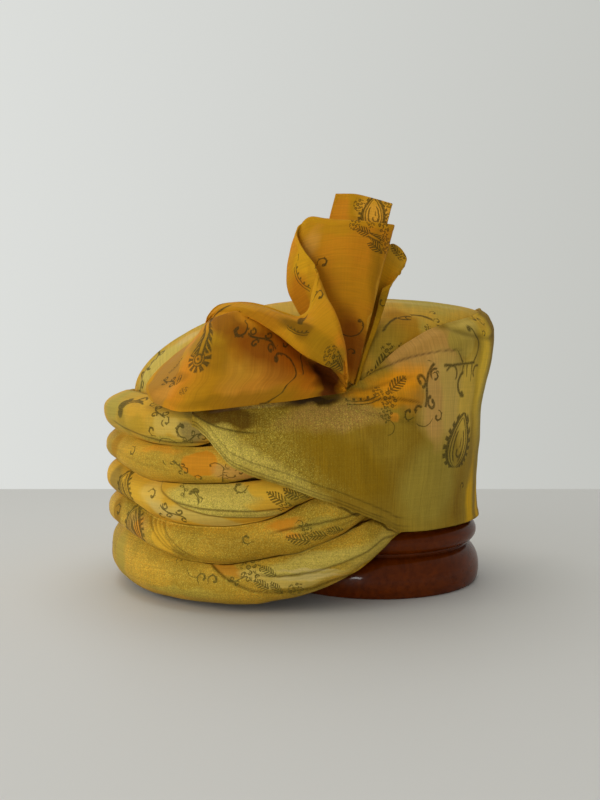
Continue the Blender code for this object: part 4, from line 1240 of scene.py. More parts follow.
def cloth(name, base, second, patches=(), motifs=(), zari=0.0, weave=(1.0, 1.0), ink=0.86,
          ink_colour=INK, roughness=0.72, hem=None, drift_scale=24.0, gathered=False,
          paint_crease_shade_and_lines=False):
    """Printed cotton and silk with a gold thread in it. base and second are its ground colours; patches are dyed
    areas and areas of painted shade and light (u, v, half width, half height, turn, colour, amount, softness, gold,
    layer); zari is how much gold thread the ground has, and its specks are painted brighter as glints."""
    material = bpy.data.materials.new(name)
    material.use_nodes = True
    tree = material.node_tree
    shader = tree.nodes["Principled BSDF"]
    uv = tree.nodes.new("ShaderNodeUVMap")
    uv.uv_map = "cloth"
    flat = uv.outputs[0]

    # prints, dyes and the painted shade and light never have ruled edges
    half = (-0.5, -0.5, 0.0)
    jitter = vector_node(tree, "ADD", noise_node(tree, flat, 330.0, 1.0, kind="Color"), half)
    shaken = vector_node(tree, "MULTIPLY_ADD", jitter, (0.0010, 0.0010, 0.0), flat)
    wander = vector_node(tree, "ADD", noise_node(tree, flat, 62.0, 2.0, kind="Color"), half)
    patch_place = vector_node(tree, "MULTIPLY_ADD", wander, (0.011, 0.011, 0.0), flat)

    drift = noise_node(tree, flat, drift_scale, 3.0, 0.55)
    colour = mix_colour(tree, over(drift, 0.52, 0.24), base, second)
    gold = math_node(tree, "ADD", (zari, 0.0), False)
    for u, v, half_u, half_v, turn, patch_colour, amount, soft, shine, layer in patches:
        local = vector_node(tree, "MULTIPLY", turned(tree, patch_place, u, v, turn),
                            (1000.0 / half_u, 1000.0 / half_v, 0.0))
        away = vector_node(tree, "LENGTH", local, number=True)
        mask = below(away, 1.0, soft) * amount
        if layer:
            seen = layer_node(tree, layer.lstrip("-"))
            mask = mask * ((1.0 - seen) if layer.startswith("-") else seen)
        colour = mix_colour(tree, mask, colour, patch_colour)
        gold = gold + (shine - gold) * mask

    # threads: uneven slubs both ways, a fine weave, and the grain of the gold thread
    lie = flat
    if gathered:
        across_u, across_v, _ = split(tree, flat)
        node = tree.nodes.new("ShaderNodeCombineXYZ")
        tree.links.new(vector_node(tree, "LENGTH", flat, number=True).socket, node.inputs[0])
        tree.links.new((across_v.op("ARCTAN2", across_u) * 0.09).socket, node.inputs[1])
        lie = node.outputs[0]
    warp = vector_node(tree, "MULTIPLY", lie, (1.0, 0.03, 0.0))
    weft = vector_node(tree, "MULTIPLY", lie, (0.03, 1.0, 0.0))
    slub_1 = noise_node(tree, warp, 900.0, 2.0, 0.6)
    slub_2 = noise_node(tree, weft, 820.0, 2.0, 0.6)
    threads = (slub_1 - 0.5) * weave[0] + (slub_2 - 0.5) * weave[1]
    cells = tree.nodes.new("ShaderNodeTexVoronoi")
    cells.inputs["Scale"].default_value = 2000.0
    tree.links.new(flat, cells.inputs["Vector"])
    grain, grain_2, _ = split(tree, cells.outputs["Color"])
    colour = vector_node(tree, "SCALE", colour, scale=threads * 0.5 + 1.0)
    # the gold thread's own colour with painted glints: brighter specks, and a brightness that changes from speck to
    # speck
    painted_glint = grain * grain * grain
    gold_thread_and_glints = vector_node(tree, "SCALE", mix_colour(tree, painted_glint * 0.95, colour, ZARI),
                        scale=grain_2 * 0.75 + 0.64)
    colour = mix_colour(tree, gold, colour, gold_thread_and_glints)

    # painted shade: the colour is darkened along the folds and grooves by the crease layer, and on the wrap also
    # along its woven border's lines
    if paint_crease_shade_and_lines:
        colour = vector_node(tree, "SCALE", colour, scale=1.0 - layer_node(tree, "crease") * 0.62)

    if hem is not None:
        colour = mix_colour(tree, layer_node(tree, "hem") * 0.4, colour, hem)

    if motifs:
        print_here = motif_ink(tree, shaken, motifs)
        worn = over(noise_node(tree, flat, 900.0, 1.0), 0.40, 0.35) * 0.40 + 0.60
        dark = mix_colour(tree, grain_2 * 0.30 * gold, ink_colour, ZARI)
        colour = mix_colour(tree, print_here * worn * ink, colour, dark)

    tree.links.new(colour, shader.inputs["Base Color"])
    tree.links.new((gold * -0.20 + roughness).socket, shader.inputs["Roughness"])
    tree.links.new((gold * over(grain, 0.66, 0.2) * 0.45).socket, shader.inputs["Metallic"])
    shader.inputs["Specular IOR Level"].default_value = 0.10
    shader.inputs["Sheen Weight"].default_value = 0.02
    shader.inputs["Sheen Roughness"].default_value = 0.4
    shader.inputs["Sheen Tint"].default_value = (1.0, 0.75, 0.3, 1.0)
    bump = tree.nodes.new("ShaderNodeBump")
    bump.inputs["Strength"].default_value = 0.5
    bump.inputs["Distance"].default_value = 0.00025
    tree.links.new((threads + gold * grain * 1.2).socket, bump.inputs["Height"])
    tree.links.new(bump.outputs[0], shader.inputs["Normal"])
    return material


def wood(name):
    """Polished dark red-brown hardwood, turned, with the rings of its grain."""
    material = bpy.data.materials.new(name)
    material.use_nodes = True
    tree = material.node_tree
    shader = tree.nodes["Principled BSDF"]
    place = tree.nodes.new("ShaderNodeTexCoord").outputs["Object"]
    long_way = vector_node(tree, "MULTIPLY", place, (1.0, 0.16, 1.0))
    wander = noise_node(tree, long_way, 38.0, 3.0, kind="Color")
    bent = vector_node(tree, "MULTIPLY_ADD", wander, (0.018, 0.018, 0.018), long_way)
    streak = noise_node(tree, bent, 210.0, 5.0, 0.62)
    fleck = noise_node(tree, vector_node(tree, "MULTIPLY", place, (1.0, 0.05, 1.0)), 1500.0, 1.0)
    broad = noise_node(tree, place, 16.0, 2.0)
    colour = mix_colour(tree, over(streak, 0.5, 0.4), rgb(62, 19, 0), rgb(100, 40, 0))
    colour = mix_colour(tree, over(broad, 0.5, 0.5) * 0.4, colour, rgb(116, 50, 0))
    colour = mix_colour(tree, over(fleck, 0.64, 0.12) * 0.14, colour, rgb(40, 12, 2))
    tree.links.new(colour, shader.inputs["Base Color"])
    scuff = noise_node(tree, place, 120.0, 3.0)
    tree.links.new((scuff * 0.14 + 0.22).socket, shader.inputs["Roughness"])
    shader.inputs["Specular IOR Level"].default_value = 0.04
    shader.inputs["Coat Weight"].default_value = 0.24
    shader.inputs["Coat Roughness"].default_value = 0.08
    bump = tree.nodes.new("ShaderNodeBump")
    bump.inputs["Strength"].default_value = 0.3
    bump.inputs["Distance"].default_value = 0.0002
    tree.links.new((streak + fleck * 0.4).socket, bump.inputs["Height"])
    tree.links.new(bump.outputs[0], shader.inputs["Normal"])
    return material


def plain(name, colour, roughness):
    material = bpy.data.materials.new(name)
    material.use_nodes = True
    tree = material.node_tree
    shader = tree.nodes["Principled BSDF"]
    place = tree.nodes.new("ShaderNodeTexCoord").outputs["Object"]
    soft = noise_node(tree, place, 3.0, 2.0)
    tree.links.new(mix_colour(tree, soft * 0.12, colour, [c * 0.9 for c in colour]),
                   shader.inputs["Base Color"])
    shader.inputs["Roughness"].default_value = roughness
    shader.inputs["Specular IOR Level"].default_value = 0.2
    return material


# ========================================================================= pieces
def finish_piece(obj, material, slot, *nodes):
    obj.data.materials.append(material)
    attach(obj, "root")
    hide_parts(*nodes)
    return obj


def face_area(obj):
    return sum(p.area for p in obj.data.polygons) / 2


def declare(obj, flat, darts=False):
    """flat is where the sheet's points lie on the flat cloth; the area of its faces is worked out and not used
    further. darts: the area is taken from the sheet's own faces instead, as if what is too wide lower down were taken
    out in darts."""
    a, b = flat[1:, 1:] - flat[:-1, :-1], flat[1:, :-1] - flat[:-1, 1:]
    area = 0.5 * float(np.abs(a[..., 0] * b[..., 1] - a[..., 1] * b[..., 0]).sum())
    area = face_area(obj) if darts else area


def patches_seen(chart, rows):
    """Dyed areas, and areas of painted shade and light, by where they are seen: px, py, half width and height in
    pixels, the way of the width in the picture, colour, amount, softness, gold, layer."""
    out = []
    for px, py, half_w, half_h, toward, patch_colour, amount, soft, gold, layer in rows:
        u, v, turn, scale, side = chart.seen(px, py, toward)
        out.append((u, v, half_w * scale, half_h * scale, turn, patch_colour, amount, soft, gold, layer))
    return out


def motifs_seen(chart, rows, bigger=1.0):
    """Prints by where they are seen: name, px, py, their x direction in the picture, and
    radius in pixels."""
    out = []
    for name, px, py, toward, radius in rows:
        u, v, turn, scale, side = chart.seen(px, py, toward)
        out.append((name, u, v, turn, radius * scale * bigger, side))
    return out


# colours of the dyes, and of the painted shade in the fan's hollow
GOLDEN, ORANGE, DEEP_ORANGE = rgb(203, 154, 44), rgb(222, 146, 34), rgb(206, 112, 6)
OLIVE, OLIVE_DARK, LEAF = rgb(160, 128, 34), rgb(142, 108, 20), rgb(172, 150, 58)
STRAW, CREAM, TAN, AMBER = rgb(206, 176, 84), rgb(208, 184, 118), rgb(198, 148, 72), rgb(164, 98, 8)
YELLOW, LEMON, BROWN = rgb(222, 172, 48), rgb(196, 172, 78), rgb(122, 88, 12)
HOLLOW_SHADE = rgb(88, 34, 0)
PLAIN_OLIVE, RIM_YELLOW = rgb(146, 110, 8), rgb(206, 160, 14)
# the fan's cloth is a warmer, deeper part of the same length
FAN_GOLD, FAN_ORANGE, FAN_DEEP, FAN_OLIVE = rgb(190, 136, 14), rgb(204, 128, 20), rgb(186, 94, 0), rgb(160, 118, 10)
FAN_YELLOW, FAN_TAN = rgb(204, 150, 18), rgb(190, 132, 44)


def roll_at(azimuth, height):
    """Where a place given by azimuth and height lies on a roll's flat cloth."""
    turn = azimuth + 360.0 if azimuth < 0 else azimuth
    return float(run(turn) - run(180.0)), height


def on_roll(azimuth, height, half_u, half_v, turn, patch_colour, amount=0.85, soft=0.4, gold=0.2):
    return (*roll_at(azimuth, height), half_u, half_v, turn, patch_colour, amount, soft, gold, "")


def roll_print(name, azimuth, height, turn, radius):
    return (name, *roll_at(azimuth, height), turn, radius, 1.0)


# what each roll shows: the part seen in the photograph, then its far side
ROLL_CLOTHS = (
    dict(base=GOLDEN, second=LEAF, zari=0.12, weave=(0.4, 0.9),
         seen=((112, 404, 8, 12, 0, LEAF, 0.8, 0.5, 0.0, ""),
               (122, 422, 8, 16, 60, OLIVE, 0.6, 0.5, 0.3, ""),
               (150, 402, 10, 9, 20, YELLOW, 0.6, 0.5, 0.05, ""),
               (136, 426, 16, 9, 10, rgb(178, 142, 36), 0.8, 0.7, 0.1, ""),
               (160, 424, 10, 12, 0, STRAW, 0.6, 0.5, 0.1, ""),
               (174, 426, 14, 9, -25, STRAW, 0.7, 0.5, 0.05, ""),
               # the patch below is partly the print's denser ink and partly painted shade
               (192, 433, 16, 10, -25, rgb(138, 118, 62), 0.9, 0.5, 0.2, ""),
               (160, 440, 34, 5, -5, LEAF, 0.8, 0.6, 0.9, "")),
         prints=(("thick_leaf", 130, 403, 15, 19), ("tendril", 153, 404, 200, 5),
                 ("vine", 160, 414, 105, 15), ("tendril", 166, 421, 40, 6),
                 ("tendril", 152, 431, 160, 6.5), ("tendril", 182, 430, 215, 10.5),
                 ("vine", 192, 438, 190, 12), ("bow", 172, 448, 0, 14),
                 ("tendril", 203, 438, 30, 5)),
         far=(on_roll(150, 124, 40, 14, 6, ORANGE), on_roll(112, 122, 26, 12, 0, STRAW)),
         far_prints=(roll_print("paisley", 168, 126, 80, 14), roll_print("vine", 138, 124, 0, 20),
                     roll_print("tendril", 118, 120, 40, 9), roll_print("tendril", 152, 118, 0, 8))),
    dict(base=GOLDEN, second=OLIVE, zari=0.45, weave=(0.4, 0.9),
         seen=((114, 448, 9, 16, 0, rgb(170, 120, 14), 0.85, 0.6, 0.1, ""),
               (145, 461, 26, 9, -12, OLIVE, 0.5, 0.6, 0.8, ""),
               (160, 449, 24, 5, -6, ORANGE, 0.6, 0.6, 0.2, ""),
               (199, 464, 21, 14, -6, rgb(208, 136, 26), 0.95, 0.13, 0.0, ""),
               (236, 475, 24, 10, -6, TAN, 0.8, 0.35, 0.1, "")),
         prints=(("tendril", 132, 451, 330, 6), ("bow", 174, 454, 175, 14),
                 ("vine", 177, 464, 290, 13), ("tendril", 185, 471, 30, 5.5),
                 ("tendril", 199, 478, 90, 5.5), ("branch", 221, 474, 80, 14),
                 ("tendril", 240, 472, 30, 5.5)),
         far=(on_roll(130, 98, 36, 12, 0, LEAF), on_roll(168, 96, 24, 10, 10, ORANGE)),
         far_prints=(roll_print("vine", 112, 98, 10, 18), roll_print("tendril", 146, 99, -40, 10),
                     roll_print("paisley", 172, 100, 100, 12))),
    dict(base=GOLDEN, second=YELLOW, zari=0.10, weave=(0.4, 0.9),
         seen=((115, 484, 15, 22, 0, rgb(146, 118, 44), 0.85, 0.5, 0.0, "-upper"),
               (150, 493, 16, 14, -30, rgb(222, 182, 78), 0.9, 0.6, 0.0, "-upper"),
               (163, 511, 22, 8, -30, rgb(208, 180, 98), 0.8, 0.6, 0.0, "-upper"),
               (205, 520, 46, 9, -12, STRAW, 0.9, 0.4, 0.0, "-lower"),
               (250, 522, 16, 5, -4, GOLDEN, 0.6, 0.5, 0.1, "-lower"),
               (210, 495, 50, 15, -6, LEMON, 0.9, 0.3, 0.75, "upper"),
               (264, 490, 18, 9, -6, YELLOW, 0.9, 0.3, 0.05, "upper"),
               (225, 512, 62, 9, -8, LEMON, 0.92, 0.3, 0.8, "lower"),
               (298, 498, 14, 10, 30, OLIVE, 0.9, 0.4, 0.5, "upper")),
         prints=(("paisley", 124, 489, 34, 22), ("vine", 174, 514, -35, 17),
                 ("tendril", 162, 515, 200, 5), ("vine", 184, 488, 70, 9), ("thick_leaf", 196, 495, 300, 9),
                 ("tendril", 240, 487, 230, 9), ("tendril", 152, 494, 30, 7),
                 ("feather", 278, 499, 60, 12), ("feather", 292, 494, 70, 11), ("feather", 304, 495, 60, 9),
                 ("thicket", 284, 506, 10, 8), ("bow", 200, 521, 170, 18)),
         far=(on_roll(150, 78, 40, 14, 0, OLIVE, gold=0.8), on_roll(110, 70, 28, 10, 0, YELLOW)),
         far_prints=(roll_print("paisley", 150, 76, 90, 14), roll_print("vine", 118, 72, 0, 18),
                     roll_print("tendril", -170, 80, 0, 9))),
    dict(base=GOLDEN, second=OLIVE, zari=0.75, weave=(0.4, 0.9),
         seen=((117, 513, 10, 16, 0, rgb(156, 112, 18), 0.85, 0.5, 0.1, ""),
               (134, 528, 20, 16, -35, TAN, 0.6, 0.5, 0.0, ""),
               (137, 530, 7, 13, -30, ORANGE, 0.7, 0.4, 0.0, ""),
               (160, 540, 8, 22, 38, YELLOW, 0.9, 0.3, 0.0, ""),
               (238, 545, 46, 13, -4, rgb(160, 122, 28), 0.8, 0.7, 0.6, ""),
               (284, 524, 17, 7, 12, rgb(206, 134, 28), 0.9, 0.6, 0.05, ""),
               (292, 537, 9, 4, -12, ORANGE, 0.7, 0.5, 0.1, ""),
               (318, 524, 18, 6, 14, LEAF, 0.7, 0.5, 0.5, ""),
               (345, 520, 16, 12, 30, OLIVE, 0.6, 0.5, 0.7, ""),
               # painted shadow: the thin dark line below is the shadow under the cross wrap's hem
               (352, 513, 20, 1.6, -26, rgb(80, 60, 8), 0.8, 0.8, 0.0, "")),
         prints=(("paisley", 133, 526, 38, 25), ("tendril", 118, 510, 40, 8),
                 ("feather", 300, 540, 75, 13), ("feather", 318, 536, 80, 12), ("feather", 334, 531, 80, 10),
                 ("thicket", 306, 531, 0, 8), ("tendril", 247, 539, 200, 7),
                 ("tendril", 300, 524, 40, 4.5)),
         far=(on_roll(120, 44, 40, 14, 0, ORANGE), on_roll(165, 52, 26, 12, 0, STRAW)),
         far_prints=(roll_print("vine", 110, 44, 0, 20), roll_print("paisley", 150, 48, 80, 14),
                     roll_print("tendril", -168, 52, 0, 9))),
    dict(base=GOLDEN, second=OLIVE, zari=0.70, weave=(0.4, 1.2),
         seen=((120, 553, 14, 24, 0, LEAF, 0.8, 0.5, 0.1, ""),
               (152, 572, 26, 10, -30, GOLDEN, 0.5, 0.6, 0.6, ""),
               (216, 586, 30, 9, -4, rgb(168, 132, 34), 0.7, 0.7, 0.5, ""),
               (180, 592, 50, 6, -8, LEAF, 0.7, 0.6, 0.5, ""),
               (226, 569, 20, 6, -14, rgb(190, 128, 32), 0.85, 0.5, 0.05, "upper"),
               (262, 576, 22, 7, -10, STRAW, 0.8, 0.4, 0.3, "upper"),
               (310, 566, 60, 12, 12, LEMON, 0.9, 0.4, 0.6, "lower"),
               (312, 576, 38, 4, 6, rgb(206, 182, 96), 0.7, 0.5, 0.05, ""),
               (295, 584, 34, 5, 4, STRAW, 0.9, 0.4, 0.1, ""),
               (308, 571, 28, 1.5, -3, CREAM, 0.6, 0.6, 0.0, ""),
               (312, 578, 32, 3, -1, rgb(216, 192, 116), 0.7, 0.5, 0.0, ""),
               (372, 552, 34, 12, 36, LEMON, 0.6, 0.5, 0.4, ""),
               # painted shadow: the thin dark line below is the shadow under the cross wrap's hem
               (386, 528, 20, 1.6, -23, rgb(80, 60, 8), 0.8, 0.8, 0.0, "")),
         prints=(("tendril", 202, 578, 100, 7), ("tendril", 213, 580, 80, 7),
                 ("bow", 196, 568, 140, 9), ("thicket", 252, 569, 0, 12), ("feather", 268, 571, 60, 9),
                 ("feather", 262, 585, 60, 10), ("feather", 276, 588, 40, 9), ("vine", 240, 579, 0, 11),
                 ("thicket", 296, 589, 0, 8), ("tendril", 180, 560, 90, 5)),
         far=(on_roll(130, 22, 40, 14, 0, ORANGE), on_roll(170, 26, 26, 12, 0, OLIVE, gold=0.9)),
         far_prints=(roll_print("vine", 120, 22, 0, 18), roll_print("tendril", -165, 24, 0, 8),
                     roll_print("paisley", 155, 24, 90, 12))),
)


def wrap_at(azimuth, height):
    return float(run(azimuth) - run(-70.0)), height


WRAP_SEEN = (
    # the bright woven gold beside the border, the painted shade on the fold under the fan and below the fan's hem,
    # then the plain and printed parts
    (268, 432, 110, 30, -30, rgb(150, 120, 30), 0.95, 0.5, 0.85, ""),
    (228, 447, 34, 14, -42, LEMON, 0.85, 0.7, 1.0, ""),
    (262, 466, 64, 9, -28, LEMON, 0.75, 0.7, 1.0, ""),
    (330, 418, 50, 15, 8, rgb(176, 132, 66), 0.75, 0.6, 1.0, ""),
    # painted shade: the wrap's upper layer darkened where it lies under the fan
    (240, 417, 84, 10, -6, rgb(96, 66, 2), 0.9, 0.4, 0.05, "upper"),
    # painted shadow: the dark gap under the fan's lifted hem
    (312, 401, 30, 5, 9, rgb(56, 36, 2), 0.95, 0.8, 0.0, ""),
    (348, 466, 60, 24, -32, PLAIN_OLIVE, 0.9, 0.6, 0.06, ""),
    (432, 485, 40, 44, 0, LEAF, 0.7, 0.5, 0.10, ""),
    (425, 352, 42, 26, 20, TAN, 0.85, 0.35, 0.0, ""),
    (445, 398, 34, 44, 0, rgb(212, 176, 86), 0.85, 0.5, 0.0, ""),
    (414, 400, 14, 14, 0, rgb(200, 136, 40), 0.7, 0.6, 0.05, ""),
    (434, 402, 12, 44, 10, rgb(206, 156, 82), 0.75, 0.6, 0.0, ""),
    (402, 381, 28, 12, 18, rgb(240, 154, 14), 0.85, 0.9, 0.0, ""),
    # painted light: the patch below lifts the shade of a fold
    (466, 328, 26, 9, 12, rgb(214, 184, 84), 0.7, 0.8, 0.0, ""),
    (380, 398, 34, 7, -4, rgb(206, 136, 10), 0.85, 0.6, 0.05, ""),
    (394, 417, 7, 6, 0, ORANGE, 0.8, 0.4, 0.0, ""),
    (462, 341, 19, 17, 0, rgb(180, 152, 60), 0.95, 0.2, 0.0, ""),
    (484, 366, 14, 66, 4, rgb(240, 196, 50), 0.95, 1.2, 0.0, ""),
    (478, 320, 10, 10, 0, GOLDEN, 0.6, 0.5, 0.0, ""),
    (469, 500, 10, 36, 0, rgb(222, 170, 4), 0.95, 0.9, 0.0, ""),
    (476, 500, 6, 44, 0, rgb(218, 168, 6), 0.95, 1.2, 0.0, ""),
    (466, 400, 16, 50, 0, rgb(230, 190, 74), 0.8, 0.6, 0.0, ""),
)
WRAP_PRINTS = (
    ("branch", 464, 359, 0, 41), ("vine", 427, 392, 250, 32), ("tendril", 435, 377, 60, 8),
    ("tendril", 409, 414, 200, 9), ("tendril", 438, 416, 300, 8.5), ("bow", 424, 414, 200, 14),
    ("tendril", 472, 318, 70, 6.5), ("tendril", 481, 321, 250, 6),
    ("tendril", 484, 334, 80, 5.5), ("drop", 460, 441, -2, 34),
    ("twin_line", 366, 398, 15, 22), ("thicket", 376, 392, 0, 8), ("thicket", 388, 400, 0, 10),
    ("thicket", 386, 413, 0, 8), ("feather", 397, 384, -40, 14), ("long_tendril", 388, 428, 0, 9),
    ("tendril", 462, 486, 90, 6),
)


def on_wrap(azimuth, height, half_u, half_v, turn, patch_colour, amount=0.8, soft=0.4, gold=0.1):
    return (*wrap_at(azimuth, height), half_u, half_v, turn, patch_colour, amount, soft, gold, "")


def wrap_print(name, azimuth, height, turn, radius):
    return (name, *wrap_at(azimuth, height), turn, radius, 1.0)


WRAP_FAR = (on_wrap(10, 120, 60, 70, 0, LEAF), on_wrap(14, 170, 40, 24, 0, TAN),
            on_wrap(60, 120, 60, 40, 20, GOLDEN, gold=0.3), on_wrap(36, 90, 24, 30, 0, ORANGE))
WRAP_FAR_PRINTS = (
    wrap_print("paisley", 2, 112, -10, 22), wrap_print("branch", 6, 168, 10, 26),
    wrap_print("vine", 28, 130, 90, 24), wrap_print("paisley", 52, 110, 10, 22),
    wrap_print("tendril", 48, 158, 40, 12), wrap_print("vine", 84, 118, 20, 22),
    wrap_print("tendril", 22, 84, 90, 10), wrap_print("tendril", 70, 96, 200, 10))

CROWN_SEEN = (
    (160, 362, 34, 24, 40, LEMON, 0.8, 0.5, 0.0, ""),
    (188, 338, 14, 10, 30, CREAM, 0.5, 0.6, 0.0, ""),
    (172, 364, 24, 8, 42, rgb(158, 118, 48), 0.8, 0.5, 0.0, ""),
    (184, 374, 10, 12, 40, ORANGE, 0.7, 0.5, 0.0, ""),
    (150, 390, 14, 8, 40, TAN, 0.6, 0.5, 0.0, ""),
    (415, 303, 38, 6, -4, rgb(202, 180, 104), 0.85, 1.2, 0.0, ""),
    (405, 328, 32, 16, 10, rgb(172, 120, 12), 0.85, 0.4, 0.0, ""),
    (384, 340, 22, 24, 40, OLIVE, 0.8, 0.6, 0.0, ""),
    (274, 302, 28, 10, 4, rgb(204, 136, 30), 0.9, 0.6, 0.0, ""),
)
CROWN_PRINTS = (
    ("drop_outline", 405, 318, 0, 9), ("bow", 413, 345, 0, 42),
    ("tendril", 433, 313, 60, 5), ("tendril", 437, 321, 60, 5.5), ("thicket", 427, 328, 0, 7),
    ("feather", 382, 363, -34, 18), ("thicket", 390, 351, 20, 13), ("thicket", 401, 345, 50, 8),
    ("thicket", 372, 375, 20, 8),
    ("bow", 268, 307, 10, 14),
    ("vine", 159, 352, 60, 26), ("thick_leaf", 150, 366, 60, 13),
    ("vine", 142, 379, 70, 24), ("tendril", 137, 389, 60, 9), ("long_tendril", 180, 372, 150, 20),
    ("tendril", 181, 378, 30, 7), ("vine", 163, 372, -50, 13), ("tendril", 182, 390, 60, 6),
    ("feather", 178, 384, -30, 8), ("tendril", 196, 343, 40, 6),
)
CROWN_FAR = (
    (-60, 40, 60, 30, 0, YELLOW, 0.7, 0.5, 0.1, ""), (30, 60, 60, 30, 0, ORANGE, 0.6, 0.5, 0.0, ""),
    (-110, 60, 40, 30, 0, OLIVE, 0.7, 0.4, 0.3, ""), (20, 0, 30, 24, 0, TAN, 0.7, 0.4, 0.0, ""),
    (60, -20, 30, 30, 0, LEAF, 0.7, 0.4, 0.0, ""),
)
CROWN_FAR_PRINTS = (
    ("paisley", -40, 10, 60, 20, 1.0), ("vine", -90, 20, 100, 22, 1.0), ("paisley", 40, 50, -40, 20, 1.0),
    ("branch", -30, 60, 10, 24, 1.0), ("tendril", 70, 10, 0, 12, 1.0), ("tendril", -120, 60, 60, 12, 1.0),
    ("vine", 20, -30, 20, 24, 1.0), ("tendril", 0, 96, 200, 12, 1.0),
)

FRONT_SEEN = (
    # the lobe that falls to the left
    (166, 376, 92, 27, 72, rgb(168, 119, 38), 0.85, 0.10, 0.0, ""),
    (166, 392, 20, 12, 20, rgb(204, 140, 46), 0.6, 0.7, 0.0, ""),
    (181, 376, 9, 13, 60, rgb(168, 110, 16), 0.85, 0.5, 0.0, ""),
    (207, 342, 14, 38, 70, FAN_OLIVE, 0.85, 0.5, 0.0, ""),
    (205, 385, 26, 20, 0, rgb(176, 122, 10), 0.7, 0.6, 0.0, ""),
    (215, 358, 20, 14, 0, rgb(150, 104, 6), 0.75, 0.6, 0.0, ""),
    (224, 322, 34, 12, -20, rgb(134, 80, 0), 0.85, 0.6, 0.0, ""),
    (256, 376, 34, 22, -20, FAN_TAN, 0.5, 0.5, 0.0, ""),
    # painted shade: the next two patches darken the lobe where the bright face overhangs it
    (262, 348, 36, 13, -32, rgb(138, 70, 0), 0.88, 0.9, 0.0, ""),
    (298, 362, 28, 13, -40, rgb(166, 84, 4), 0.85, 0.9, 0.0, ""),
    # painted shade: the deep hollow under the bright face, by the pinch
    (326, 375, 22, 11, -38, HOLLOW_SHADE, 0.95, 0.6, 0.0, ""),
    (240, 401, 70, 8, 4, rgb(150, 106, 8), 0.7, 0.6, 0.0, ""),
    # the bright face
    (235, 309, 24, 6, -10, rgb(178, 122, 6), 0.8, 0.5, 0.0, ""),
    (262, 318, 26, 8, -22, rgb(170, 112, 6), 0.8, 0.6, 0.0, ""),
    (297, 328, 20, 8, -32, rgb(128, 88, 4), 0.85, 0.6, 0.0, ""),
    (325, 325, 12, 34, 20, FAN_GOLD, 0.6, 0.5, 0.0, ""),
    (325, 352, 20, 10, -40, FAN_OLIVE, 0.7, 0.6, 0.0, ""),
    (338, 362, 8, 14, 20, OLIVE_DARK, 0.7, 0.5, 0.0, ""),
    # the strip behind its lip
    (302, 258, 12, 22, 20, FAN_YELLOW, 0.9, 0.4, 0.0, ""),
    # painted shade and painted glow: the saturated orange below stands for the hollow's shade and the light shining
    # through the thin cloth
    (300, 296, 13, 22, 10, rgb(186, 114, 10), 0.85, 0.6, 0.0, ""),
    # the upright pleat
    (345, 285, 46, 70, 0, FAN_ORANGE, 0.45, 0.6, 0.0, ""),
    (312, 244, 10, 18, -12, rgb(208, 148, 54), 0.85, 0.8, 0.0, ""),
    (335, 231, 22, 6, 0, FAN_GOLD, 0.7, 0.6, 0.0, ""),
    (352, 346, 15, 34, 0, rgb(140, 74, 4), 0.9, 0.7, 0.0, ""),
    (376, 262, 7, 40, -10, rgb(150, 106, 8), 0.6, 0.9, 0.0, ""),
    (370, 312, 66, 1.4, 81.6, rgb(214, 158, 44), 0.65, 0.8, 0.0, ""),
)
FRONT_PRINTS = (
    ("plume", 205, 341, 68, 38), ("stroke", 219, 312, 38, 17), ("tendril", 240, 330, 275, 11), ("vine", 262, 339, -42, 18),
    ("tendril", 284, 344, 320, 6), ("long_tendril", 276, 380, 0, 20), ("bow", 317, 375, 98, 23),
    ("stroke", 301, 321, 48, 17), ("twin_line", 297, 331, -20, 12), ("tendril", 320, 296, 60, 8),
    ("feather", 337, 362, 60, 11), ("thicket", 335, 358, 0, 8), ("thicket", 330, 352, 0, 6),
    ("twin_line", 300, 277, -62, 21), ("bow", 292, 262, 250, 12),
    ("tendril", 323, 263, 60, 8), ("thick_leaf", 321, 271, 20, 5), ("long_tendril", 349, 324, -88, 15),
    ("bow", 343, 354, 110, 13), ("tendril", 352, 352, 90, 5.5),
    ("feather", 364, 232, 70, 13), ("plume", 374, 238, 150, 17), ("feather", 374, 246, 55, 13), ("thicket", 384, 245, 20, 10),
    ("thicket", 355, 225, 40, 8), ("thicket", 383, 230, 60, 10), ("thicket", 370, 226, 10, 7),
    ("vine", 170, 382, -48, 19), ("twin_line", 177, 366, 50, 16), ("drop_outline", 180, 380, 65, 8),
    ("thicket", 184, 391, 0, 6), ("tendril", 157, 372, 60, 5),
)
TIP_SEEN = ((342, 209, 12, 20, 0, rgb(216, 138, 26), 0.9, 0.6, 0.0, ""), (378, 212, 20, 18, 0, rgb(238, 170, 52), 0.9, 0.6, 0.05, ""))
TIP_PRINTS = (("drop", 374, 213, 8, 22), ("thicket", 360, 206, 0, 9), ("thicket", 387, 217, 30, 8),
              ("thicket", 386, 203, 50, 8))
BACK_SEEN = ((397, 260, 16, 16, 0, rgb(204, 156, 40), 0.6, 0.6, 0.0, ""), (388, 276, 14, 18, -20, rgb(206, 146, 14), 0.85, 0.9, 0.0, ""))
BACK_PRINTS = (("feather", 394, 250, 60, 11), ("thicket", 400, 256, 0, 6), ("tendril", 382, 302, 250, 7))


stand = finish_piece(build_stand(160, 14), wood("polished_hardwood"), "stand_wood", "stand_base")

crown, crown_chart, crown_flat = build_crown(300, 14, 90)
finish_piece(crown, cloth("crown_print", GOLDEN, LEAF, zari=0.0, weave=(1.0, 0.8),
                          patches=[*patches_seen(crown_chart, CROWN_SEEN), *CROWN_FAR],
                          motifs=[*motifs_seen(crown_chart, CROWN_PRINTS), *CROWN_FAR_PRINTS]),
             "cap_cloth", "crown_cap")

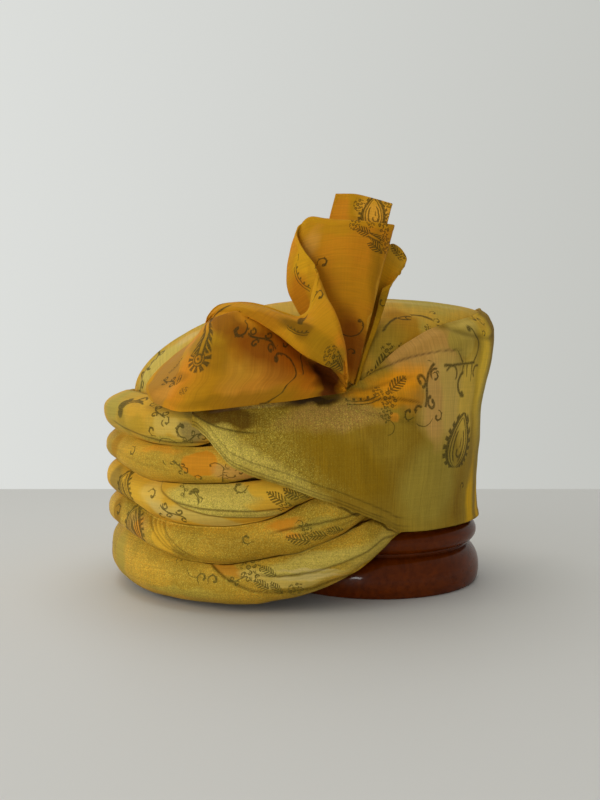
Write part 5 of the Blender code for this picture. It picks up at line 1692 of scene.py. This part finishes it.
for number in range(5):
    roll, roll_chart = build_roll(number, 470, 66)
    look = ROLL_CLOTHS[number]
    finish_piece(roll, cloth("roll_print_%d" % (number + 1), look["base"], look["second"],
                             zari=look["zari"], weave=look["weave"],
                             paint_crease_shade_and_lines=True,
                             patches=[*patches_seen(roll_chart, look["seen"]), *look["far"]],
                             motifs=[*motifs_seen(roll_chart, look["prints"], 1.18), *look["far_prints"]]),
                 "roll_cloth", ROLLS[number][0])

wrap, wrap_chart, wrap_flat = build_wrap(400, 110)
finish_piece(wrap, cloth("wrap_print", OLIVE, OLIVE_DARK, zari=0.10, weave=(1.3, 0.5), paint_crease_shade_and_lines=True,
                         patches=[*patches_seen(wrap_chart, WRAP_SEEN), *WRAP_FAR],
                         motifs=[*motifs_seen(wrap_chart, WRAP_PRINTS), *WRAP_FAR_PRINTS]),
             "wrap_cloth", "cross_wrap")

front, front_chart, front_flat = build_fan("visual_turra_front", FRONT_SHEET, 340, 110, 0.6, 101)
finish_piece(front, cloth("fan_print", gathered=True, base=FAN_GOLD, second=FAN_ORANGE, weave=(0.9, 0.35), hem=FAN_YELLOW,
                          patches=patches_seen(front_chart, FRONT_SEEN),
                          motifs=motifs_seen(front_chart, FRONT_PRINTS)),
             "fan_cloth", "turra_flap", "turra_ruffle", "turra_panel")
tip, tip_chart, tip_flat = build_fan("visual_turra_tip", TIP_SHEET, 90, 100, 0.6, 131, 0.25)
finish_piece(tip, cloth("fan_tip_print", gathered=True, base=FAN_ORANGE, second=FAN_GOLD, weave=(0.9, 0.35), hem=FAN_YELLOW,
                        patches=patches_seen(tip_chart, TIP_SEEN),
                        motifs=motifs_seen(tip_chart, TIP_PRINTS)), "fan_cloth", "turra_tip")
back_pleat, back_chart, back_flat = build_fan("visual_turra_back_pleat", BACK_SHEET, 100, 100,
                                              0.6, 151, 0.25)
finish_piece(back_pleat, cloth("fan_back_print", gathered=True, base=FAN_GOLD, second=FAN_OLIVE, weave=(0.9, 0.35), hem=FAN_YELLOW,
                               patches=patches_seen(back_chart, BACK_SEEN),
                               motifs=motifs_seen(back_chart, BACK_PRINTS)),
             "fan_cloth", "turra_back_pleat")

declare(wrap, wrap_flat)
declare(crown, crown_flat, darts=True)
declare(front, front_flat)
declare(tip, tip_flat)
declare(back_pleat, back_flat)

# ======================================================================= the set
# a plain pale table top, with its back edge as far behind as in the photograph
table_mesh = bpy.data.meshes.new("table_top")
table_mesh.from_pydata([(-4, -4, 0), (4, -4, 0), (4, 0.46, 0), (-4, 0.46, 0),
                        (-4, -4, -0.03), (4, -4, -0.03), (4, 0.46, -0.03), (-4, 0.46, -0.03)], [],
                       [(0, 1, 2, 3), (7, 6, 5, 4), (0, 4, 5, 1), (1, 5, 6, 2), (2, 6, 7, 3),
                        (3, 7, 4, 0)])
table_top = bpy.data.objects.new("table_top", table_mesh)
bpy.context.scene.collection.objects.link(table_top)
table_mesh.materials.append(plain("pale_table", rgb(214, 213, 209), 0.6))
soft_edge = table_top.modifiers.new("soft_edge", "BEVEL")
soft_edge.width, soft_edge.segments = 0.028, 8

# a pale room, brighter to the left and behind, dimmer where the viewer stands
world = bpy.data.worlds.new("pale_room")
bpy.context.scene.world = world
world.use_nodes = True
tree = world.node_tree
way = split(tree, tree.nodes.new("ShaderNodeTexCoord").outputs["Generated"])
behind = way[1].op("MULTIPLY_ADD", 1.1, 0.25, clamp=True)
right = way[0].op("MULTIPLY_ADD", 1.15, 0.5, clamp=True)
wall = mix_colour(tree, right, rgb(223, 225, 222), rgb(194, 195, 190))
room = mix_colour(tree, right, rgb(170, 170, 166), rgb(158, 158, 155))
tree.links.new(mix_colour(tree, behind, room, wall), tree.nodes["Background"].inputs["Color"])
tree.nodes["Background"].inputs["Strength"].default_value = 1.0


def softbox(name, at, toward, wide, high, power, colour=(1.0, 1.0, 1.0)):
    light = bpy.data.lights.new(name, "AREA")
    light.shape = "RECTANGLE"
    light.size, light.size_y = wide, high
    light.energy = power
    light.color = colour
    obj = bpy.data.objects.new(name, light)
    bpy.context.scene.collection.objects.link(obj)
    obj.location = at
    d = np.array(toward, float) - np.array(at, float)
    d /= np.linalg.norm(d)
    obj.rotation_euler = (math.acos(-d[2]), 0.0, math.atan2(d[0], -d[1]) + math.pi)
    return obj


softbox("window_light", (-1.2, -0.7, 0.60), (-0.08, 0.0, 0.08), 0.9, 0.7, 4.9)
softbox("ceiling_light", (-0.2, 0.25, 1.7), (-0.05, 0.0, 0.1), 1.3, 1.3, 8.0)
softbox("lamp", (-0.64, -1.5, 0.22), (0.0, 0.0, 0.06), 0.50, 0.16, 4.2)

camera_data = bpy.data.cameras.new("camera")
camera_data.sensor_fit = "AUTO"
camera_data.sensor_width = 36.0
camera_data.lens = 36.0
camera = bpy.data.objects.new("camera", camera_data)
bpy.context.scene.collection.objects.link(camera)
camera.location = tuple(c * MM for c in CAMERA_AT)
camera.rotation_euler = (math.radians(90.0 - CAMERA_DIP), 0.0, 0.0)
bpy.context.scene.camera = camera
bpy.context.scene.view_settings.view_transform = "Standard"
